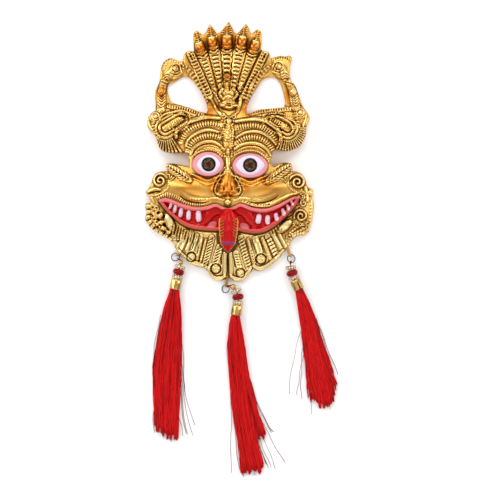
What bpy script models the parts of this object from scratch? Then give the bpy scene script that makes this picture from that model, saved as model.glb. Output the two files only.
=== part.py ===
"""A cast kirtimukha face mask lying on its back rim, with three thread tassels on beaded hangers.

The face looks up (+Z), its crown points to +Y and the tassels lie towards -Y. Places on the face
are read in units of a mask 156 high and follow MASK_HEIGHT. The relief is a height over the face,
added up from domes, ridges along curves, rings and spirals, and it is cut to the outline and
hollowed from behind.
"""
import math

import bmesh
import bpy
import numpy as np
from mathutils import Matrix, Vector

# Driving dimensions, in metres
MASK_HEIGHT = 0.156
RELIEF_DEPTH = 0.0195
RIM_THICKNESS = 0.0032
RIM_WIDTH = 0.0025
WALL = 0.0033
CLEARANCE = 0.0003

LUG_BAR = 0.0008
LUG_PLAY = 0.0004
LUG_ROOT = 0.0016
RING_DIAMETER = 0.0048
RING_WIRE = 0.0006
LUG_HEIGHT = 2 * LUG_BAR + RING_WIRE + 2 * LUG_PLAY

CORD = 0.0005
LOOP_WIRE = 0.0006
LOOP_DIAMETER = RING_WIRE + 2 * CLEARANCE + LOOP_WIRE
BORE = CORD + 0.0010
BALL_DIAMETERS = {"left": 0.0027, "middle": 0.0034}
RONDELLE_DIAMETER = 0.0062
RONDELLE_LENGTH = 0.0019
RONDELLE_EDGE = 0.0007
BEAD_DIAMETER = 0.0069
BEAD_LENGTH = 0.0034
BEAD_FACE = 0.0044
BEAD_GIRDLE = 0.0008
CAP_DIAMETER = 0.0062
CAP_LENGTH = 0.0062
CAP_WALL = 0.0004

NECK_DIAMETER = 0.0045
NECK_WIDTH = 0.0056
NECK_LENGTH = 0.003
THREAD_END_THICKNESS = 0.0028
THREAD_FLUTE = 0.07

# How finely the carving is cut
FACE_TRIANGLES = 3750
FACE_STEP = 0.0009
OUTLINE_STEPS = 2
CORE_STEP = 0.0030
CORE_TRIANGLES = 420
BLOCK_FLOOR = -0.004
CORE_FLOOR = -0.006
SHALLOWEST_CORE = -0.002

# The relief runs on a little past the outline and then fades out, in face units
RUN_ON = 1.5
DEEPEST_CUT = -0.8
HOLLOW_SLOPE = 1.2

# The face is drawn 156 units high and 19.5 units deep
DRAWN_HEIGHT = 156.0
DRAWN_DEPTH = 19.5
UNIT = MASK_HEIGHT / DRAWN_HEIGHT
RISE = RELIEF_DEPTH / DRAWN_DEPTH

# Outline in face units from the middle of the lowest petal, clockwise; a third value marks a corner
CROWN_RIGHT = [(-0.4, 155.9, 0), (1.7, 152.6), (3.2, 149.3), (4.6, 148.4, 0), (6.3, 150.1),
               (10.1, 154.6, 0), (11.6, 152.3), (12.5, 149.8), (13.5, 148.0, 0), (15.6, 150.3),
               (17.6, 151.2), (19.3, 149.0), (19.6, 144.8), (18.9, 139.2, 0)]
BAND_RIGHT = [(20.6, 138.3), (22.5, 138.3), (24.1, 136.7), (24.2, 133.6, 0)]
BIRD_RIGHT = [(27.3, 134.3), (30.6, 135.4), (33.5, 134.9), (35.9, 135.5), (37.8, 134.0), (36.9, 130.8),
              (36.3, 126.8), (36.8, 121.5), (39.7, 117.1), (41.3, 113.0), (42.6, 109.4), (43.8, 105.8)]
WING_RIGHT = [(46.9, 101.2), (48.3, 98.3), (47.4, 95.4, 0), (46.1, 92.0), (46.0, 88.0), (44.7, 84.6),
              (42.4, 81.1), (37.5, 78.7), (32.9, 78.0), (28.3, 79.2, 0), (26.4, 78.0), (25.4, 74.6),
              (24.3, 71.4, 0)]
LEAF_RIGHT = [(26.9, 68.6), (30.1, 70.5), (34.2, 71.1), (37.2, 70.4), (37.8, 68.0), (35.9, 65.6, 0)]
SCROLL_RIGHT = [(39.5, 66.1), (42.9, 64.6), (45.3, 61.9), (46.5, 58.1), (48.0, 56.0, 0), (50.3, 54.9),
                (50.6, 52.4), (49.3, 50.6, 0), (50.8, 46.8), (50.5, 42.2), (50.1, 38.6), (49.1, 34.2),
                (47.9, 30.4), (45.3, 27.7), (41.5, 27.2), (38.1, 24.8), (34.8, 19.6, 0)]
FRILL_RIGHT = [(33.0, 17.6), (29.9, 13.8), (26.2, 10.4), (22.3, 7.6), (18.5, 6.2), (14.3, 7.2, 0),
               (12.6, 5.0), (10.5, 2.3), (7.7, 0.5), (4.2, 0.0), (1.6, 1.3), (-0.3, 2.6, 0)]
FRILL_LEFT = [(-1.8, 1.6), (-4.5, 0.7), (-8.3, 0.7), (-11.3, 2.9), (-12.9, 6.0, 0), (-16.0, 8.4),
              (-19.8, 9.2), (-22.9, 10.4), (-25.9, 12.7), (-29.7, 16.4), (-32.2, 19.3), (-32.8, 21.8)]
SCROLL_LEFT = [(-35.9, 25.0), (-39.7, 27.3), (-44.3, 30.0), (-47.3, 32.7), (-49.6, 35.9), (-50.4, 38.3),
               (-49.3, 41.6), (-50.4, 44.4), (-50.1, 46.8, 0), (-46.8, 47.4, 0), (-47.9, 50.5),
               (-50.3, 53.5, 0), (-47.7, 56.8), (-46.1, 60.6), (-45.1, 63.5), (-42.9, 65.3), (-39.5, 65.9),
               (-36.4, 66.0, 0)]
LEAF_LEFT = [(-37.4, 68.0), (-37.6, 70.2), (-34.7, 70.6), (-30.6, 70.0), (-26.5, 69.1), (-23.9, 68.4, 0)]
WING_LEFT = [(-23.5, 70.6), (-24.1, 73.9), (-25.8, 76.6), (-28.5, 76.9), (-33.3, 76.9), (-38.2, 77.6),
             (-41.2, 79.3), (-42.9, 82.7), (-43.8, 86.1), (-46.4, 89.6), (-48.6, 92.3), (-49.1, 95.6),
             (-48.3, 98.8), (-46.3, 101.3), (-43.9, 102.6, 0)]
BIRD_LEFT = [(-44.2, 107.8), (-44.5, 113.2), (-43.3, 116.7), (-41.8, 119.2, 0), (-41.4, 124.3),
             (-41.0, 127.7), (-39.9, 130.6), (-37.6, 133.0), (-35.4, 133.9), (-32.6, 133.4), (-29.9, 132.1),
             (-27.6, 131.9, 0)]
BAND_LEFT = [(-27.8, 134.3), (-26.4, 136.9), (-24.2, 138.5), (-22.2, 137.9), (-21.1, 138.3, 0)]
CROWN_LEFT = [(-21.3, 142.9), (-21.4, 146.3), (-21.1, 149.4), (-19.6, 150.7), (-18.1, 149.5),
              (-15.6, 147.6, 0), (-13.8, 149.9), (-11.6, 154.7, 0), (-9.2, 151.3), (-7.2, 148.3, 0),
              (-4.7, 150.1)]
OUTLINE = (CROWN_RIGHT + BAND_RIGHT + BIRD_RIGHT + WING_RIGHT + LEAF_RIGHT + SCROLL_RIGHT + FRILL_RIGHT
           + FRILL_LEFT + SCROLL_LEFT + LEAF_LEFT + WING_LEFT + BIRD_LEFT + BAND_LEFT + CROWN_LEFT)
HOLE_LEFT = [(-36.2, 117.9), (-32.6, 119.6), (-28.5, 122.3), (-25.7, 122.9), (-22.4, 120.7), (-18.4, 115.9),
             (-14.9, 109.8), (-12.9, 103.6), (-13.6, 100.8, 0), (-17.5, 101.8), (-23.0, 103.9),
             (-29.9, 106.0), (-34.4, 107.5), (-36.0, 110.6), (-36.9, 114.5)]
HOLE_RIGHT = [(20.5, 121.1), (25.2, 122.7), (28.7, 121.3), (31.0, 117.9), (32.6, 112.6), (33.5, 107.8),
              (33.1, 104.6, 0), (25.9, 103.8), (18.4, 103.1), (13.5, 101.1), (10.9, 100.1, 0),
              (10.4, 102.2), (11.1, 105.9), (13.6, 111.2), (17.1, 116.6)]

# Each hanger: where its lug leaves the rim and which way it points, in degrees from -Y towards +X;
# how much longer than its ring needs the lug is; the ring's dip and roll; which way the loop hangs from
# the ring and its first piece lies beyond the loop; how much thread shows between them; the lean of
# every piece down the string; and its skirt, as height, middle and half width in face units
HANGERS = {
    "left": {"root": (-29.9, 16.6), "points": -50.0, "spare": 0.0, "dip": 2.0, "roll": 14.0, "swing": 59.0,
             "onward": 14.0, "slack": 0.0, "leans": (-6.0, -20.0, -15.0, -12.0, -11.0),
             "skirt": [(-27.7, -35.5, 6.6), (-49.7, -37.9, 8.7), (-71.7, -38.2, 7.9), (-85.7, -37.4, 6.6),
                       (-94.7, -36.9, 5.0)]},
    "middle": {"root": (-1.2, 2.0), "points": -8.0, "spare": 0.0034, "dip": 2.0, "roll": 26.0,
               "swing": 125.0, "onward": 58.0, "slack": 0.0, "leans": (54.0, 24.0, 7.0, -8.0, -9.0),
               "skirt": [(-38.2, 4.2, 5.2), (-62.2, 7.0, 6.2), (-78.2, 10.3, 7.9), (-96.2, 14.7, 9.4),
                         (-116.2, 15.3, 7.8)]},
    "right": {"root": (35.2, 19.9), "points": 18.0, "spare": 0.0035, "dip": -6.0, "roll": -22.0,
              "swing": -10.0, "onward": 8.0, "slack": 0.0006, "leans": (8.0, 19.0, 22.0, 24.0),
              "skirt": [(-22.7, 47.9, 5.0), (-34.7, 50.3, 6.1), (-47.2, 53.0, 8.2), (-59.2, 54.2, 9.4),
                        (-69.2, 54.2, 6.6)]},
}


def loop_points(points, steps):
    """A closed curve through the points in order, straight across the marked corners' tangents."""
    place = np.array([p[:2] for p in points], float)
    corner = [len(p) == 3 for p in points]
    count = len(place)
    pieces = []
    for i in range(count):
        a, b = place[i], place[(i + 1) % count]
        before = 2 * a - b if corner[i] else place[i - 1]
        after = 2 * b - a if corner[(i + 1) % count] else place[(i + 2) % count]
        pieces.append(bent_stretch(before, a, b, after, steps))
    return np.concatenate(pieces)


def path_points(points, steps=5):
    """An open curve through the points in order."""
    place = np.array(points, float)
    if len(place) == 2:
        return place
    pieces = []
    for i in range(len(place) - 1):
        a, b = place[i], place[i + 1]
        before = place[i - 1] if i else 2 * a - b
        after = place[i + 2] if i + 2 < len(place) else 2 * b - a
        pieces.append(bent_stretch(before, a, b, after, steps))
    return np.concatenate(pieces + [place[-1:]])


def bent_stretch(before, a, b, after, steps):
    """Points from a up to b on the cubic whose ends run parallel to their neighbours."""
    t = (np.arange(steps) / steps)[:, None]
    return 0.5 * (2 * a + (b - before) * t + (2 * before - 5 * a + 4 * b - after) * t ** 2
                  + (3 * a - before - 3 * b + after) * t ** 3)


def distance_inside(x, y, loop):
    """Distance from each point to a closed outline, positive inside it."""
    nearest = np.full(x.shape, 1e18)
    inside = np.zeros(x.shape, bool)
    for (ax, ay), (bx, by) in zip(loop, np.roll(loop, -1, axis=0)):
        ex, ey = bx - ax, by - ay
        px, py = x - ax, y - ay
        t = np.clip((px * ex + py * ey) / (ex * ex + ey * ey), 0, 1)
        nearest = np.minimum(nearest, (px - t * ex) ** 2 + (py - t * ey) ** 2)
        if ay != by:
            inside ^= ((ay > y) != (by > y)) & (x < ex * (y - ay) / ey + ax)
    return np.where(inside, 1.0, -1.0) * np.sqrt(nearest)


def distance_along(x, y, path):
    """Distance from a path, how far along it the nearest point lies, and the path's length."""
    nearest = np.full(x.shape, 1e18)
    run = np.zeros(x.shape)
    length = 0.0
    for (ax, ay), (bx, by) in zip(path[:-1], path[1:]):
        ex, ey = bx - ax, by - ay
        size = math.hypot(ex, ey)
        px, py = x - ax, y - ay
        t = np.clip((px * ex + py * ey) / size ** 2, 0, 1)
        gap = (px - t * ex) ** 2 + (py - t * ey) ** 2
        closer = gap < nearest
        nearest = np.where(closer, gap, nearest)
        run = np.where(closer, length + t * size, run)
        length += size
    return np.sqrt(nearest), run, length


def ease(t):
    """A smooth step from 0 to 1."""
    t = np.clip(t, 0, 1)
    return t * t * (3 - 2 * t)


def round_top(t):
    """A half circle across t from -1 to 1."""
    return np.sqrt(np.clip(1 - t * t, 0, 1))


def soft_top(t):
    """A smooth bell across t from -1 to 1."""
    return 0.5 + 0.5 * np.cos(np.pi * np.clip(t, -1, 1))


def blend_max(a, b, soft):
    """The higher of two heights, rounded where they meet."""
    return 0.5 * (a + b + np.sqrt((a - b) ** 2 + soft * soft)) - 0.25 * soft


def oval(x, y, centre, reach, turn=0.0):
    """Distance from a centre, as a share of an oval's reach that way."""
    c, s = math.cos(math.radians(turn)), math.sin(math.radians(turn))
    u = (x - centre[0]) * c + (y - centre[1]) * s
    v = (y - centre[1]) * c - (x - centre[0]) * s
    return np.hypot(u / reach[0], v / reach[1])


def body_rise(x, y):
    """The large forms under the carving, as a rise over the rim."""
    def dome(height, centre, reach, power=2.0):
        return height * np.sqrt(np.clip(1 - oval(x, y, centre, reach) ** power, 0, 1)) - 3.2
    fan = 8.5 * np.clip(1 - np.hypot((x + 0.5) / 40, (y - 38) / 40), 0, 1) ** 0.9 - 0.6
    rise = blend_max(0 * x, fan, 1.0)
    rise = blend_max(rise, dome(19.0, (0, 58), (47, 37), 2.2), 2.5)
    rise = blend_max(rise, dome(14.0, (0, 84), (34, 23)), 2.5)
    rise = blend_max(rise, dome(6.0, (-0.8, 118), (27, 40)), 1.0)
    for side in (-1, 1):
        rise = blend_max(rise, dome(6.8, (38.0 * side, 91.2), (14, 16)), 1.0)
        rise = blend_max(rise, dome(6.5, (40.2 * side, 50), (12, 30)), 1.0)
    return rise


class Relief:
    """Heights over a set of points, carved one form at a time."""

    def __init__(self, x, y):
        self.x, self.y = x, y
        self.rise = body_rise(x, y)

    def near(self, points, reach):
        """The points of the face within reach of the box round some points."""
        low = np.min(points, axis=0) - reach
        high = np.max(points, axis=0) + reach
        return np.nonzero((self.x > low[0]) & (self.x < high[0]) & (self.y > low[1]) & (self.y < high[1]))

    def ridge(self, points, width, height, taper=0.0, shape=round_top):
        """A raised line, or a groove where the height is negative, along a curve."""
        path = path_points(points)
        w = self.near(path, width)
        gap, run, length = distance_along(self.x[w], self.y[w], path)
        ends = np.clip(np.minimum(run, length - run) / (0.3 * length), 0, 1)
        half = 0.5 * width * (1 - taper * (1 - ends))
        self.rise[w] += np.where(gap < half, height * shape(np.clip(gap / half, 0, 1)), 0.0)

    def mound(self, centre, reach, height, turn=0.0, shape=round_top):
        """An oval swelling, or a hollow where the height is negative."""
        w = self.near([centre], max(reach) * 1.05)
        self.rise[w] += height * shape(np.clip(oval(self.x[w], self.y[w], centre, reach, turn), 0, 1))

    def ring(self, centre, radius, width, height):
        """A raised or sunk circle."""
        w = self.near([centre], radius + width)
        gap = np.abs(np.hypot(self.x[w] - centre[0], self.y[w] - centre[1]) - radius)
        self.rise[w] += height * soft_top(2 * gap / width)

    def spiral(self, centre, radius, turns, width, height, start, hand):
        """A ridge that winds in to a centre."""
        t = np.linspace(0, 1, int(12 * turns) + 1)
        angle = math.radians(start) + hand * 2 * math.pi * turns * t
        reach = radius * (1 - 0.86 * t)
        self.ridge(np.stack([centre[0] + reach * np.cos(angle), centre[1] + reach * np.sin(angle)], 1),
                   width, height)


# The crown is a fan of five snakes; each: angle from +Y, reach, half its head's width, lean of its head
FAN = (-1.5, 94.0)
SNAKES = [(-19.3, 49.0, 2.9, -22.4), (-9.5, 49.7, 2.9, -9.6), (0.6, 49.4, 3.3, 0.6),
          (10.6, 49.7, 2.9, 10.0), (20.0, 49.8, 2.9, 21.5)]
SNAKE_EDGES = (-24.2, -14.4, -4.4, 5.6, 15.4, 24.6)


def fan_point(angle, reach):
    """A place on the fan, by its angle from +Y and its reach."""
    return np.array([FAN[0] + reach * math.sin(math.radians(angle)),
                     FAN[1] + reach * math.cos(math.radians(angle))])


def carve_crown(face):
    """Hooded snakes: rounded columns, dark seams between them, heads, collars and leaf tips."""
    reach = np.hypot(face.x - FAN[0], face.y - FAN[1])
    angle = np.degrees(np.arctan2(face.x - FAN[0], face.y - FAN[1]))
    for (_, far, _, _), low, high in zip(SNAKES, SNAKE_EDGES[:-1], SNAKE_EDGES[1:]):
        across = (angle - 0.5 * (low + high)) / (0.5 * (high - low))
        column = (np.abs(across) < 1) & (reach < far - 3)
        face.rise += np.where(column, 1.3 * soft_top(across) * ease((reach - 19) / 5), 0.0)
    for edge in SNAKE_EDGES:
        face.ridge([fan_point(edge, 20), fan_point(edge, 47)], 1.3, -1.4, shape=soft_top)
    for top, foot in (((-24.0, 137.0), (-11.3, 111.5)), ((21.8, 136.9), (8.9, 113.0))):
        face.ridge([foot, top], 4.6, 1.5)
    face.ridge([(-27.0, 129.5), (-20.2, 122.0), (-13.6, 108.5)], 4.0, 1.0, taper=0.4)
    face.ridge([(24.3, 128.7), (16.8, 120.2), (10.2, 107.5)], 4.0, 1.0, taper=0.4)
    for angle_now, far, half, lean in SNAKES:
        across = np.array([math.cos(math.radians(angle_now)), -math.sin(math.radians(angle_now))]) * half
        face.mound(fan_point(angle_now, far), (half, half * 1.35), 3.0, -0.8 * lean)
        collar = fan_point(angle_now, far - 4.6)
        face.ridge([collar - across, fan_point(angle_now, far - 5.6), collar + across], 1.6, 1.3, taper=0.4)
        face.mound(fan_point(angle_now * 0.96, far + 6.3), (half * 0.85, 4.0), 1.8, -0.8 * lean, soft_top)


def carve_seated_figure(face):
    """The small seated figure at the foot of the snakes, between two rosettes and two rails."""
    face.mound((-0.9, 112.5), (6.5, 10.5), 1.6, shape=soft_top)
    face.mound((-1.1, 122.0), (2.7, 2.3), 2.2)
    face.mound((-1.0, 118.4), (2.9, 2.7), 2.6)
    face.mound((-0.6, 113.2), (3.6, 3.4), 1.8)
    face.mound((-0.3, 108.6), (4.1, 3.3), 2.2)
    face.ridge([(-3.6, 115.0), (-5.2, 111.8), (-3.3, 109.0)], 1.9, 1.5)
    face.ridge([(2.4, 115.0), (4.3, 111.8), (2.7, 109.0)], 1.9, 1.5)
    face.ridge([(-4.6, 105.8), (0.0, 104.6), (4.6, 105.6)], 2.4, 1.7)
    for centre in ((-8.0, 114.8), (5.9, 115.2)):
        face.mound(centre, (2.5, 2.7), 1.4)
    face.ridge([(-10.4, 108.8), (-7.0, 103.0), (-4.6, 99.6)], 1.8, 1.1)
    face.ridge([(6.6, 108.2), (5.6, 103.0), (4.4, 99.6)], 2.2, 1.4)
    face.ridge([(-4.6, 99.6), (0.3, 103.2), (4.6, 99.4)], 1.3, 0.9)
    face.mound((0.1, 98.6), (2.5, 2.9), 1.2, shape=soft_top)


def carve_bird(face, head, eye, cheek, neck, knee, foot, turn):
    """A bird with its head against the crown, standing on the wing below."""
    face.mound(head, (6.8, 6.2), 2.6, turn)
    face.mound(eye, (2.9, 2.9), 1.0)
    face.ring(eye, 2.2, 1.0, -1.2)
    face.ridge([head, cheek, neck], 5.0, 1.6, taper=0.2)
    face.ridge([neck, knee], 4.4, 1.6)
    face.ridge([knee, foot], 5.2, 1.8)


def carve_wing(face, tongue, border, second, curl, rope, fan_span, flutes):
    """A wing: nested bands round a long tongue, with short flutes fanned round its outer end."""
    outer = tongue[0]
    w = face.near(np.array(tongue), 12.0)
    gap, _, _ = distance_along(face.x[w], face.y[w], np.array(tongue))
    for middle, width, height in ((0.0, 4.0, 1.5), (3.3, 2.1, 1.3), (5.4, 1.9, 1.1)):
        face.rise[w] += height * round_top(np.clip((gap - middle) / (0.5 * width), -1, 1))
    w = face.near([outer], 15.0)
    reach = np.hypot(face.x[w] - outer[0], face.y[w] - outer[1])
    angle = np.mod(np.degrees(np.arctan2(face.x[w] - outer[0], face.y[w] - outer[1])), 360)
    share = (angle - fan_span[0]) / (fan_span[1] - fan_span[0])
    flute = 1.5 * np.abs(np.sin(math.pi * flutes * share)) ** 0.8 * ease((reach - 6.4) / 1.5)
    face.rise[w] += np.where((share > 0) & (share < 1) & (reach > 6.4), flute, 0.0)
    face.ridge(border, 2.8, 1.3)
    face.ridge(second, 2.2, 1.3, taper=0.3)
    face.mound(curl, (2.7, 2.7), 2.2)
    face.ridge(rope, 3.0, 1.2)


def carve_brows(face, folds, bands, lashes):
    """Heavy folds over an eye, with ribbed bands between them and a row of lashes below."""
    for points, width, height in folds:
        face.ridge(points, width, height, taper=0.25)
    for points, width in bands:
        face.ridge(points, width, 1.3)
    face.ridge(lashes, 1.6, 0.5)


def almond(x, y, centre, white):
    """Distance inside the white of an eye, which lies between two arcs that meet in points."""
    a, b = white
    radius = (a * a + b * b) / (2 * b)
    upper = radius - np.hypot(x - centre[0], y - centre[1] - b + radius)
    lower = radius - np.hypot(x - centre[0], y - centre[1] + b - radius)
    return np.minimum(upper, lower)


def carve_eye(face, centre, white, lid_centre, lid):
    """A bulging eye in its lid, with a soft bag under it."""
    x0, y0 = lid_centre
    face.mound(lid_centre, (lid[0] + 2.5, lid[1] + 2.2), -2.2, shape=soft_top)
    face.mound(lid_centre, lid, 3.4)
    face.rise += 0.5 * np.exp(-((oval(face.x, face.y, lid_centre, lid) - 0.93) / 0.07) ** 2)
    face.rise += 0.6 * np.clip(almond(face.x, face.y, centre, white) / 1.2, 0, 1)
    bag = [(x0 + 10.2 * s, y0 - 5.6 - 4.6 * (1 - abs(s))) for s in (-1.0, -0.6, 0.0, 0.6, 1.0)]
    face.ridge(bag, 3.0, 1.3, taper=0.6)


def carve_nose(face):
    """A broad triangular nose with round wings, an outlining ridge and a bead at its tip."""
    middle = -0.4
    length = np.clip((73.5 - face.y) / 22, 0, 1)
    half = 1.6 + 5.4 * length ** 1.3
    across = np.clip(np.abs(face.x - middle) / half, 0, 1)
    rise = 4.6 * ease(length * 1.6) * ease((face.y - 50.6) / 3.0)
    face.rise += np.where(face.y < 76, rise * (1 - across ** 1.6), 0.0)
    for side in (-1, 1):
        face.mound((middle + 4.2 * side, 55.0), (2.9, 3.3), 2.3)
        face.mound((middle + 2.1 * side, 55.9), (0.75, 1.7), -2.4, 18 * side, soft_top)
        frame = [(1.1, 66.5), (4.4, 61.8), (7.2, 56.4), (7.3, 52.9), (4.6, 51.3), (1.7, 52.0)]
        face.ridge([(middle + side * x, y) for x, y in frame], 1.3, 1.3)
    face.ridge([(middle, 62.0), (middle, 56.0), (middle, 50.0)], 2.2, 1.3)
    face.mound((middle, 47.4), (1.75, 1.75), 1.9)


def carve_cheeks(face):
    """Smooth full cheeks with a crease and a thin moustache line below each."""
    for side in (-1, 1):
        face.mound((23.5 * side, 56.2), (19.0, 7.6), 3.6, 6 * side, soft_top)
        crease = [(12.5, 49.4), (20.5, 49.6), (28.6, 52.0)]
        line = [(9.0, 48.2), (16.0, 47.0), (24.0, 48.6), (31.5, 51.9)]
        face.ridge([(side * x, y) for x, y in crease], 2.8, -1.1, taper=0.8, shape=soft_top)
        face.ridge([(side * x, y) for x, y in line], 2.2, 1.1, taper=0.5)


# The mouth: the lips' outer edges, and their inner edges round the opening
UPPER_LIP = [(-42.6, 48.8), (-38.6, 50.0), (-34.6, 49.2), (-27.4, 46.3), (-19.8, 44.4), (-13.7, 44.8),
             (-8.6, 46.2), (-4.0, 44.6), (-0.4, 43.6), (3.4, 44.8), (7.7, 46.3), (14.6, 44.0), (22.3, 43.6),
             (29.9, 46.3), (37.6, 50.2), (42.8, 51.2)]
LOWER_LIP = [(-42.6, 48.8), (-38.6, 43.8), (-35.1, 40.0), (-29.0, 34.9), (-22.9, 32.0), (-16.0, 30.9),
             (-6.8, 30.5), (0.0, 30.6), (6.2, 30.2), (14.6, 28.9), (20.8, 29.7), (27.7, 33.3), (35.3, 40.2),
             (40.3, 46.2), (42.8, 51.2)]
UPPER_INNER = [(-39.6, 47.6), (-36.2, 47.2), (-32.0, 45.4), (-26.0, 43.2), (-19.0, 42.2), (-12.6, 43.0),
               (-7.8, 44.6), (-4.0, 43.0), (-0.4, 42.2), (3.4, 43.2), (7.2, 44.6), (14.0, 42.0),
               (21.6, 41.4), (28.8, 43.6), (35.6, 47.6), (40.2, 49.9)]
LOWER_INNER = [(-39.6, 47.6), (-36.6, 43.8), (-33.2, 40.4), (-28.0, 36.6), (-22.0, 34.0), (-15.6, 33.0),
               (-6.8, 32.4), (0.0, 32.4), (6.2, 32.2), (14.4, 31.2), (20.2, 32.0), (26.6, 35.6),
               (33.4, 41.6), (38.0, 46.6), (40.2, 49.9)]
# Each tooth: centre, width, height, lean
TEETH = [((-34.7, 44.9), 1.8, 3.4, -20), ((-32.3, 43.2), 2.3, 4.6, -14), ((-28.9, 41.0), 2.9, 5.6, -10),
         ((-24.2, 39.7), 2.8, 6.0, -4), ((-18.0, 39.0), 3.2, 6.8, 2), ((17.7, 37.3), 3.1, 5.8, -8),
         ((22.9, 36.8), 3.0, 5.6, 0), ((28.3, 38.7), 2.6, 4.8, 10), ((32.2, 41.4), 2.2, 4.6, 14),
         ((34.9, 44.3), 1.8, 3.8, 18), ((37.2, 46.9), 1.5, 3.0, 22)]


def carve_mouth(face):
    """Rolled lips round a sunk mouth, with gums, teeth and two thick folds beside the tongue."""
    x, y = face.x, face.y

    def height_at(points):
        curve = path_points(points)
        return np.interp(x, curve[:, 0], curve[:, 1])
    top, bottom = height_at(UPPER_LIP), height_at(LOWER_LIP)
    half = np.maximum(0.5 * (top - bottom), 0.1)
    swell = round_top((y - 0.5 * (top + bottom)) / half) * ease(half / 4)
    face.rise += np.where((y < top) & (y > bottom) & (np.abs(x - 0.1) < 42.8), 1.2 * swell, 0.0)
    depth = np.minimum(height_at(UPPER_INNER) - y, y - height_at(LOWER_INNER))
    face.rise -= np.where(np.abs(x - 0.3) < 39.9, 1.6 * ease(depth / 1.6), 0.0)
    for outer, inner, height in ((UPPER_LIP, UPPER_INNER, 1.5), (LOWER_LIP, LOWER_INNER, 1.9)):
        face.ridge(0.5 * (np.array(outer) + np.array(inner)), 2.3, height)
    face.ridge([(-14.5, 36.0), (-11.6, 40.0), (-8.0, 42.4), (-4.6, 41.6)], 6.6, 1.9, taper=0.4)
    face.ridge([(14.5, 33.6), (12.0, 38.0), (9.2, 41.6), (5.0, 41.8)], 6.6, 1.9, taper=0.4)
    face.ridge([(-37.0, 43.8), (-31.0, 38.8), (-24.0, 35.6), (-15.0, 34.4)], 2.6, 0.9, taper=0.5)
    face.ridge([(38.4, 46.2), (32.0, 39.4), (25.0, 34.6), (16.0, 33.0)], 2.6, 0.9, taper=0.5)
    for centre, wide, tall, lean in TEETH:
        c, s = math.cos(math.radians(lean)), math.sin(math.radians(lean))
        u = (x - centre[0]) * c + (y - centre[1]) * s
        v = (y - centre[1]) * c - (x - centre[0]) * s
        square = np.abs(2 * u / wide) ** 2.6 + np.abs(2 * v / tall) ** 3.2
        face.rise += 2.0 * np.sqrt(np.clip(1 - square, 0, 1))


def carve_tongue(face):
    """The tongue hangs over the lower lip and ends in a point on the frill."""
    y = face.y
    middle = np.interp(y, [17.6, 22, 28, 36, 43], [-0.8, -0.7, -0.4, -0.2, -0.6])
    half = np.interp(y, [17.4, 18.6, 22.6, 29.0, 35.6, 39.5, 42.5], [0.3, 1.6, 4.5, 5.5, 6.0, 5.0, 3.0])
    across = (face.x - middle) / half
    level = np.interp(y, [17.4, 20, 24, 30, 36, 43.5], [5.6, 7.8, 11.3, 14.8, 14.6, 11.8])
    form = level + 2.6 * round_top(across)
    on = (np.abs(across) < 1) & (y > 17.4) & (y < 43.5)
    face.rise = np.where(on, np.maximum(face.rise, form), face.rise)


# Pleats of the frill: top, bottom and width; then its medallions and the rims of its petals
PLEATS = [((-2.3, 17.4), (-2.7, 4.0), 2.1), ((-5.2, 20.8), (-7.6, 11.5), 4.2),
          ((-10.0, 26.5), (-14.8, 8.2), 4.2), ((-13.4, 24.6), (-17.0, 11.2), 2.2),
          ((-16.0, 27.0), (-19.9, 11.4), 2.4), ((-18.8, 27.4), (-22.2, 18.4), 2.8),
          ((-21.2, 28.2), (-26.6, 15.4), 2.6), ((-24.4, 29.4), (-30.6, 18.0), 4.2),
          ((0.9, 17.4), (1.5, 4.4), 2.1), ((3.2, 18.0), (5.8, 9.2), 3.6), ((6.8, 26.4), (11.6, 7.6), 4.4),
          ((11.0, 25.6), (14.6, 10.4), 2.6), ((15.8, 25.6), (18.3, 17.0), 4.2),
          ((19.8, 25.6), (24.2, 13.6), 2.7), ((23.2, 26.8), (28.8, 14.4), 4.0),
          ((26.2, 28.2), (32.2, 18.4), 2.4), ((29.0, 30.4), (34.0, 20.6), 1.9)]
MEDALLIONS = [((-22.6, 14.7), 2.8), ((-8.0, 7.6), 3.0), ((6.8, 5.1), 2.7), ((19.1, 13.4), 3.1)]
PETAL_RIMS = [[(-4.4, 3.0), (-8.2, 2.2), (-11.6, 5.4), (-12.2, 9.4)],
              [(1.8, 3.2), (5.4, 1.7), (9.4, 3.3), (11.4, 6.6)],
              [(14.4, 8.9), (18.6, 8.3), (22.8, 10.1), (25.0, 12.9)],
              [(-19.2, 10.9), (-22.6, 10.9), (-26.6, 14.2)]]


def carve_frill(face):
    """The pleated frill under the lip, with ringed medallions and a groove down its middle."""
    for top, bottom, width in PLEATS:
        face.ridge([top, bottom], width, 1.2)
    for centre, radius in MEDALLIONS:
        face.mound(centre, (radius * 1.25, radius * 1.25), 1.0, shape=soft_top)
        face.ring(centre, radius, 1.1, -1.1)
        face.mound(centre, (radius * 0.45, radius * 0.45), 0.9)
    for rim in PETAL_RIMS:
        face.ridge(rim, 1.8, 0.9, taper=0.5)
    face.ridge([(-0.8, 17.0), (-0.9, 4.0)], 1.5, -1.6, shape=soft_top)
    for k in range(9):
        top = (-33.2 + 1.75 * k, 33.4 - 0.55 * k)
        face.ridge([top, (top[0] - 1.0, 27.6 - 0.1 * k)], 1.3, 0.9)


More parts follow.
